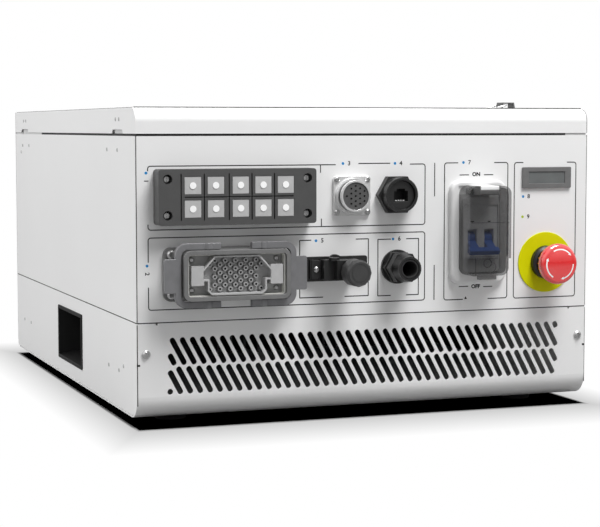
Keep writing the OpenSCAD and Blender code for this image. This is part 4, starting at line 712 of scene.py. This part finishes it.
# %% Painted shade in the groove of the pendant port
shell_low, shell_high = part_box("pendant_shell")
pendant_place = ((shell_low.x + shell_high.x) / 2 / mm - left_edge / mm, (shell_low.z + shell_high.z) / 2 / mm - 99)
# The black sleeve is painted shade.
groove_shade = turned([(14.64, 6.6), (14.85, 6.6), (14.85, 9.1), (14.64, 9.1), (14.64, 6.6)], pendant_place)
as_piece(groove_shade, "pendant_groove_shade", cup_black_and_painted_shade, "cabinet")
print("the sleeve stands at", [round(value, 1) for value in pendant_place])

# %% [markdown]
# The smoked cover has a lock boss with a ring, a slit beside its tab and a faint step across the pane. Their
# shade is painted as thin, darker bands just proud of its two front planes.

# %% Painted shade lines in the smoked cover
cover_low, cover_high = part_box("breaker_cover")
cover_front = (panel_face - cover_low.y) / mm
low_front = cover_front - 5
cover_across = (cover_low.x + cover_high.x) / 2 / mm - left_edge / mm
boss_place = (cover_across - 0.6, 77.6 - 29.2)
bands = turned([(3.7, low_front), (4.4, low_front), (4.4, low_front + 0.15), (3.7, low_front + 0.15),
                (3.7, low_front)], boss_place, steps=48)


def cover_shade_band(x0, z0, x1, z1, out):
    """Add a thin band of painted shade on the cover between two places in mm from the breaker's middle."""
    made = bmesh.ops.create_cube(bands, size=1.0)["verts"]
    bmesh.ops.scale(bands, verts=made, vec=((x1 - x0) * mm, 0.16 * mm, (z1 - z0) * mm))
    bmesh.ops.translate(bands, verts=made, vec=on_panel(cover_across + (x0 + x1) / 2, 77.6 + (z0 + z1) / 2, out))


cover_shade_band(-20.0, 10.2, 20.0, 10.7, cover_front + 0.05)
cover_shade_band(-13.6, -40.8, -13.0, -25.0, low_front + 0.05)
print("the cover's front stands", round(cover_front, 1), "mm from the panel")
as_piece(bands, "cover_shade_lines", smoked_shade_line, nodes["breaker_cover"]["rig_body"])

# %% [markdown]
# Three white arrows on the crown show which way the head turns to release. Each is a short edge, spun through
# most of a third of a turn, with a triangle at its end. The thin sheet takes its height from the same dome as
# the crown, and solidify makes it a layer of paint.

# %% The arrows on the crown
arrow_radius = 14.6
arrow_width = 1.3
arrow_turn = 72
barb_turn = 13


def on_crown(radius, angle):
    """Point just above the crown, at a radius in mm and an angle in degrees from the right-hand side."""
    across = stop_place[0] + radius * math.cos(math.radians(angle))
    up = stop_place[1] + radius * math.sin(math.radians(angle))
    return on_panel(across, up, crown_out(radius) + 0.02)


arrows = bmesh.new()
for tip in (154, 34, -86):
    tail = tip + barb_turn + arrow_turn
    inner = arrows.verts.new(on_crown(arrow_radius - arrow_width / 2, tail))
    outer = arrows.verts.new(on_crown(arrow_radius + arrow_width / 2, tail))
    stroke = arrows.edges.new((inner, outer))
    bmesh.ops.spin(arrows, geom=[inner, outer, stroke], cent=on_panel(*stop_place), axis=(0, 1, 0),
                   angle=math.radians(arrow_turn), steps=20)
    barb = [on_crown(arrow_radius - 1.7, tip + barb_turn), on_crown(arrow_radius + 1.7, tip + barb_turn),
            on_crown(arrow_radius, tip)]
    arrows.faces.new([arrows.verts.new(point) for point in barb])
bmesh.ops.recalc_face_normals(arrows, faces=arrows.faces)
bmesh.ops.solidify(arrows, geom=arrows.faces[:], thickness=0.06 * mm)
bmesh.ops.recalc_face_normals(arrows, faces=arrows.faces)
print("the arrows have", len(arrows.faces), "faces")
as_piece(arrows, "stop_head_arrows", ink_and_glint_white, nodes["estop_head"]["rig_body"])

# %% [markdown]
# A hand that lifts the cabinet grips the upper wall of the recessed cup. The real one has ribs there, so ten
# low bars with rounded edges are laid against that wall on each side.

# %% Grip ribs in the handle cups


def grip_ribs(cup, inward):
    """Ribs under the upper wall of one handle cup; inward is the direction into the cabinet."""
    low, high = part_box(cup)
    outer = low.x if inward > 0 else high.x
    middle = (low.y + high.y) / 2
    ribs = bmesh.new()
    for step in range(10):
        made = bmesh.ops.create_cube(ribs, size=1.0)["verts"]
        bmesh.ops.scale(ribs, verts=made, vec=(22 * mm, 4.5 * mm, 2.2 * mm))
        place = (outer + inward * 14 * mm, middle + (step - 4.5) * 10 * mm, high.z - 5.6 * mm)
        bmesh.ops.rotate(ribs, verts=made, cent=(0, 0, 0), matrix=Matrix.Rotation(math.radians(7.6 * inward), 3, "Y"))
        bmesh.ops.translate(ribs, verts=made, vec=place)
    bmesh.ops.bevel(ribs, geom=ribs.edges[:], offset=0.5 * mm, offset_type="OFFSET", segments=2, profile=0.5,
                    affect="EDGES", clamp_overlap=True, material=-1)
    return as_piece(ribs, cup + "_ribs", cup_black_and_painted_shade, "cabinet")


rounded("handle_cup_left", 0.8, 3)
rounded("handle_cup_right", 0.8, 3)
grip_ribs("handle_cup_left", 1)
grip_ribs("handle_cup_right", -1)
print("both cups have their ribs")

# %% [markdown]
# The sprung contacts of the data socket end in four pairs at its lower edge. They are too small for the solid,
# so four small blocks in white ink stand there as a painted glint, which makes the hole read as a socket.

# %% Painted glints on the contacts of the data socket
contacts = bmesh.new()
for step in range(4):
    made = bmesh.ops.create_cube(contacts, size=1.0)["verts"]
    bmesh.ops.scale(contacts, verts=made, vec=(1.2 * mm, 2.0 * mm, 0.6 * mm))
    bmesh.ops.translate(contacts, verts=made, vec=on_panel(256.2 + (step - 1.5) * 2.6, 110.2, 13.4))
bmesh.ops.bevel(contacts, geom=contacts.edges[:], offset=0.12 * mm, offset_type="OFFSET", segments=1, profile=0.5,
                affect="EDGES", clamp_overlap=True, material=-1)
as_piece(contacts, "data_socket_glints", ink_and_glint_white, "cabinet")
print("four contact groups are in the socket")

# %% [markdown]
# The floor and the room are plain and pale. The camera sees them as white, and so do the glossy surfaces,
# while the lamps and a dimmer room light fall on the cabinet. Under the cabinet the floor's colour is painted
# black, a painted contact shadow for the narrow gap. Around it a painted shadow, a grey halo on the white that
# the camera sees, fades to white, twice as far in front as beside it.

# %% Floor
floor_mesh = bpy.data.meshes.new("floor")
floor_shape = bmesh.new()
bmesh.ops.create_circle(floor_shape, cap_ends=True, segments=64, radius=6.0)
floor_shape.to_mesh(floor_mesh)
floor_shape.free()
floor = bpy.data.objects.new("floor", floor_mesh)
bpy.context.scene.collection.objects.link(floor)
gap_low = Vector((left_edge, panel_face - 4 * mm, 0))
gap_high = Vector((right_edge, rear_end, 0))
gap_half = (gap_high - gap_low) / 2
floor.location = (gap_low + gap_high) / 2

floor_finish = bpy.data.materials.new("floor")
floor_finish.use_nodes = True
tree = floor_finish.node_tree
matt = tree.nodes["Principled BSDF"]
matt.inputs["Roughness"].default_value = 0.9
matt.inputs["Specular IOR Level"].default_value = 0.0
glow = tree.nodes.new("ShaderNodeEmission")
glow.inputs["Color"].default_value = (1, 1, 1, 1)
rays = tree.nodes.new("ShaderNodeLightPath")
place = tree.nodes.new("ShaderNodeTexCoord")
folded = tree.nodes.new("ShaderNodeVectorMath")
folded.operation = "ABSOLUTE"
beyond = tree.nodes.new("ShaderNodeVectorMath")
beyond.operation = "MULTIPLY_ADD"
beyond.inputs[1].default_value = (1.0, 0.5, 1.0)
beyond.inputs[2].default_value = (-gap_half.x, -gap_half.y * 0.5, 0)
sides = tree.nodes.new("ShaderNodeSeparateXYZ")
reach = tree.nodes.new("ShaderNodeMath")
reach.operation = "MAXIMUM"
fade = tree.nodes.new("ShaderNodeMapRange")
fade.interpolation_type = "SMOOTHSTEP"
fade.inputs["From Min"].default_value = 0.0
fade.inputs["From Max"].default_value = 0.003
fade.inputs["To Min"].default_value = 0.0
fade.inputs["To Max"].default_value = 1.0
# Painted shadow: the floor's own colour is black under the cabinet and grey beyond it.
floor_tone_and_painted_shadow = tree.nodes.new("ShaderNodeMapRange")
floor_tone_and_painted_shadow.inputs["From Min"].default_value = -0.002
floor_tone_and_painted_shadow.inputs["From Max"].default_value = 0.0
floor_tone_and_painted_shadow.inputs["To Min"].default_value = 0.0
floor_tone_and_painted_shadow.inputs["To Max"].default_value = 0.31
# Painted shadow: the white that the camera sees is dimmed to grey near the cabinet.
painted_shadow_halo = tree.nodes.new("ShaderNodeMapRange")
painted_shadow_halo.inputs["From Min"].default_value = 0.0
painted_shadow_halo.inputs["From Max"].default_value = 0.055
painted_shadow_halo.inputs["To Min"].default_value = 0.6
painted_shadow_halo.inputs["To Max"].default_value = 1.0
seen = tree.nodes.new("ShaderNodeMath")
seen.operation = "MAXIMUM"
share = tree.nodes.new("ShaderNodeMath")
share.operation = "MULTIPLY"
mixed = tree.nodes.new("ShaderNodeMixShader")
tree.links.new(place.outputs["Object"], folded.inputs[0])
tree.links.new(folded.outputs["Vector"], beyond.inputs[0])
tree.links.new(beyond.outputs["Vector"], sides.inputs["Vector"])
tree.links.new(sides.outputs["X"], reach.inputs[0])
tree.links.new(sides.outputs["Y"], reach.inputs[1])
tree.links.new(reach.outputs["Value"], fade.inputs["Value"])
tree.links.new(reach.outputs["Value"], floor_tone_and_painted_shadow.inputs["Value"])
tree.links.new(reach.outputs["Value"], painted_shadow_halo.inputs["Value"])
tree.links.new(painted_shadow_halo.outputs["Result"], glow.inputs["Strength"])
tree.links.new(floor_tone_and_painted_shadow.outputs["Result"], matt.inputs["Base Color"])
tree.links.new(rays.outputs["Is Camera Ray"], seen.inputs[0])
tree.links.new(rays.outputs["Is Transmission Ray"], seen.inputs[1])
tree.links.new(seen.outputs["Value"], share.inputs[0])
tree.links.new(fade.outputs["Result"], share.inputs[1])
tree.links.new(share.outputs["Value"], mixed.inputs["Fac"])
tree.links.new(matt.outputs["BSDF"], mixed.inputs[1])
tree.links.new(glow.outputs["Emission"], mixed.inputs[2])
tree.links.new(mixed.outputs["Shader"], tree.nodes["Material Output"].inputs["Surface"])
floor.data.materials.append(floor_finish)
print("the floor is", floor.dimensions.x, "m wide")

# %% [markdown]
# The world has three lights in one: white for the rays that come from the camera, a sky that is bright above
# and dim near the floor for shiny surfaces, and a soft grey for the light that falls on the cabinet.

# %% World
world = bpy.data.worlds.new("room")
bpy.context.scene.world = world
world.use_nodes = True
tree = world.node_tree
room = tree.nodes["Background"]
room.inputs["Color"].default_value = (1, 1, 1, 1)
room.inputs["Strength"].default_value = 0.34
white = tree.nodes.new("ShaderNodeBackground")
white.inputs["Color"].default_value = (1, 1, 1, 1)
white.inputs["Strength"].default_value = 1.0
sky = tree.nodes.new("ShaderNodeBackground")
sky.inputs["Color"].default_value = (1, 1, 1, 1)
place = tree.nodes.new("ShaderNodeTexCoord")
parts = tree.nodes.new("ShaderNodeSeparateXYZ")
rise = tree.nodes.new("ShaderNodeMapRange")
rise.interpolation_type = "SMOOTHSTEP"
rise.inputs["From Min"].default_value = -0.05
rise.inputs["From Max"].default_value = 0.3
rise.inputs["To Min"].default_value = 0.3
rise.inputs["To Max"].default_value = 1.1
mirrored = tree.nodes.new("ShaderNodeMixShader")
tree.links.new(place.outputs["Generated"], parts.inputs["Vector"])
tree.links.new(parts.outputs["Z"], rise.inputs["Value"])
tree.links.new(rise.outputs["Result"], sky.inputs["Strength"])
rays = tree.nodes.new("ShaderNodeLightPath")
seen = tree.nodes.new("ShaderNodeMath")
seen.operation = "MAXIMUM"
mixed = tree.nodes.new("ShaderNodeMixShader")
tree.links.new(rays.outputs["Is Glossy Ray"], mirrored.inputs["Fac"])
tree.links.new(room.outputs["Background"], mirrored.inputs[1])
tree.links.new(sky.outputs["Background"], mirrored.inputs[2])
tree.links.new(rays.outputs["Is Camera Ray"], seen.inputs[0])
tree.links.new(rays.outputs["Is Transmission Ray"], seen.inputs[1])
tree.links.new(seen.outputs["Value"], mixed.inputs["Fac"])
tree.links.new(mirrored.outputs["Shader"], mixed.inputs[1])
tree.links.new(white.outputs["Background"], mixed.inputs[2])
tree.links.new(mixed.outputs["Shader"], tree.nodes["World Output"].inputs["Surface"])
print("the room light has strength", room.inputs["Strength"].default_value)

# %% [markdown]
# Three soft lamps do the rest. The large one hangs in front and above, which gives the panel its light top
# and darker foot; a second lights the left side; and a third comes from behind to draw the lid's edge.

# %% Lamps


def soft_lamp(name, place, aim, size, power):
    """Square area lamp at a place, pointed at another, with its power in watts."""
    data = bpy.data.lights.new(name, "AREA")
    data.size = size
    data.energy = power
    lamp = bpy.data.objects.new(name, data)
    lamp.location = place
    lamp.rotation_euler = (Vector(aim) - Vector(place)).to_track_quat("-Z", "Y").to_euler()
    bpy.context.scene.collection.objects.link(lamp)
    return lamp


soft_lamp("front_lamp", (0.35, -1.05, 1.7), (0, -0.2, 0.2), 0.8, 38)
soft_lamp("side_lamp", (-1.9, 0.1, 1.0), (-0.2, 0.1, 0.15), 1.2, 25)
soft_lamp("rear_lamp", (0.6, 1.8, 1.6), (0, 0.1, 0.2), 1.2, 14)
print("three lamps light the cabinet")

# %% [markdown]
# The camera stands where the photograph was taken from: to the left of the panel, a little above the lid,
# with a long lens that keeps the perspective mild.

# %% Camera
camera_data = bpy.data.cameras.new("camera")
camera_data.lens = 103.2
camera_data.sensor_width = 36.0
camera_data.sensor_fit = "HORIZONTAL"
camera_data.clip_start = 0.05
camera_data.clip_end = 50.0
camera = bpy.data.objects.new("camera", camera_data)
camera.location = (-0.6282, -1.8004, 0.2788)
camera.rotation_euler = (math.radians(85.479), math.radians(0.03), math.radians(-19.951))
bpy.context.scene.collection.objects.link(camera)
bpy.context.scene.camera = camera
bpy.context.scene.view_settings.view_transform = "Standard"
print("the camera is", round((camera.location - Vector((0, 0, 0.15))).length, 3), "m from the cabinet")
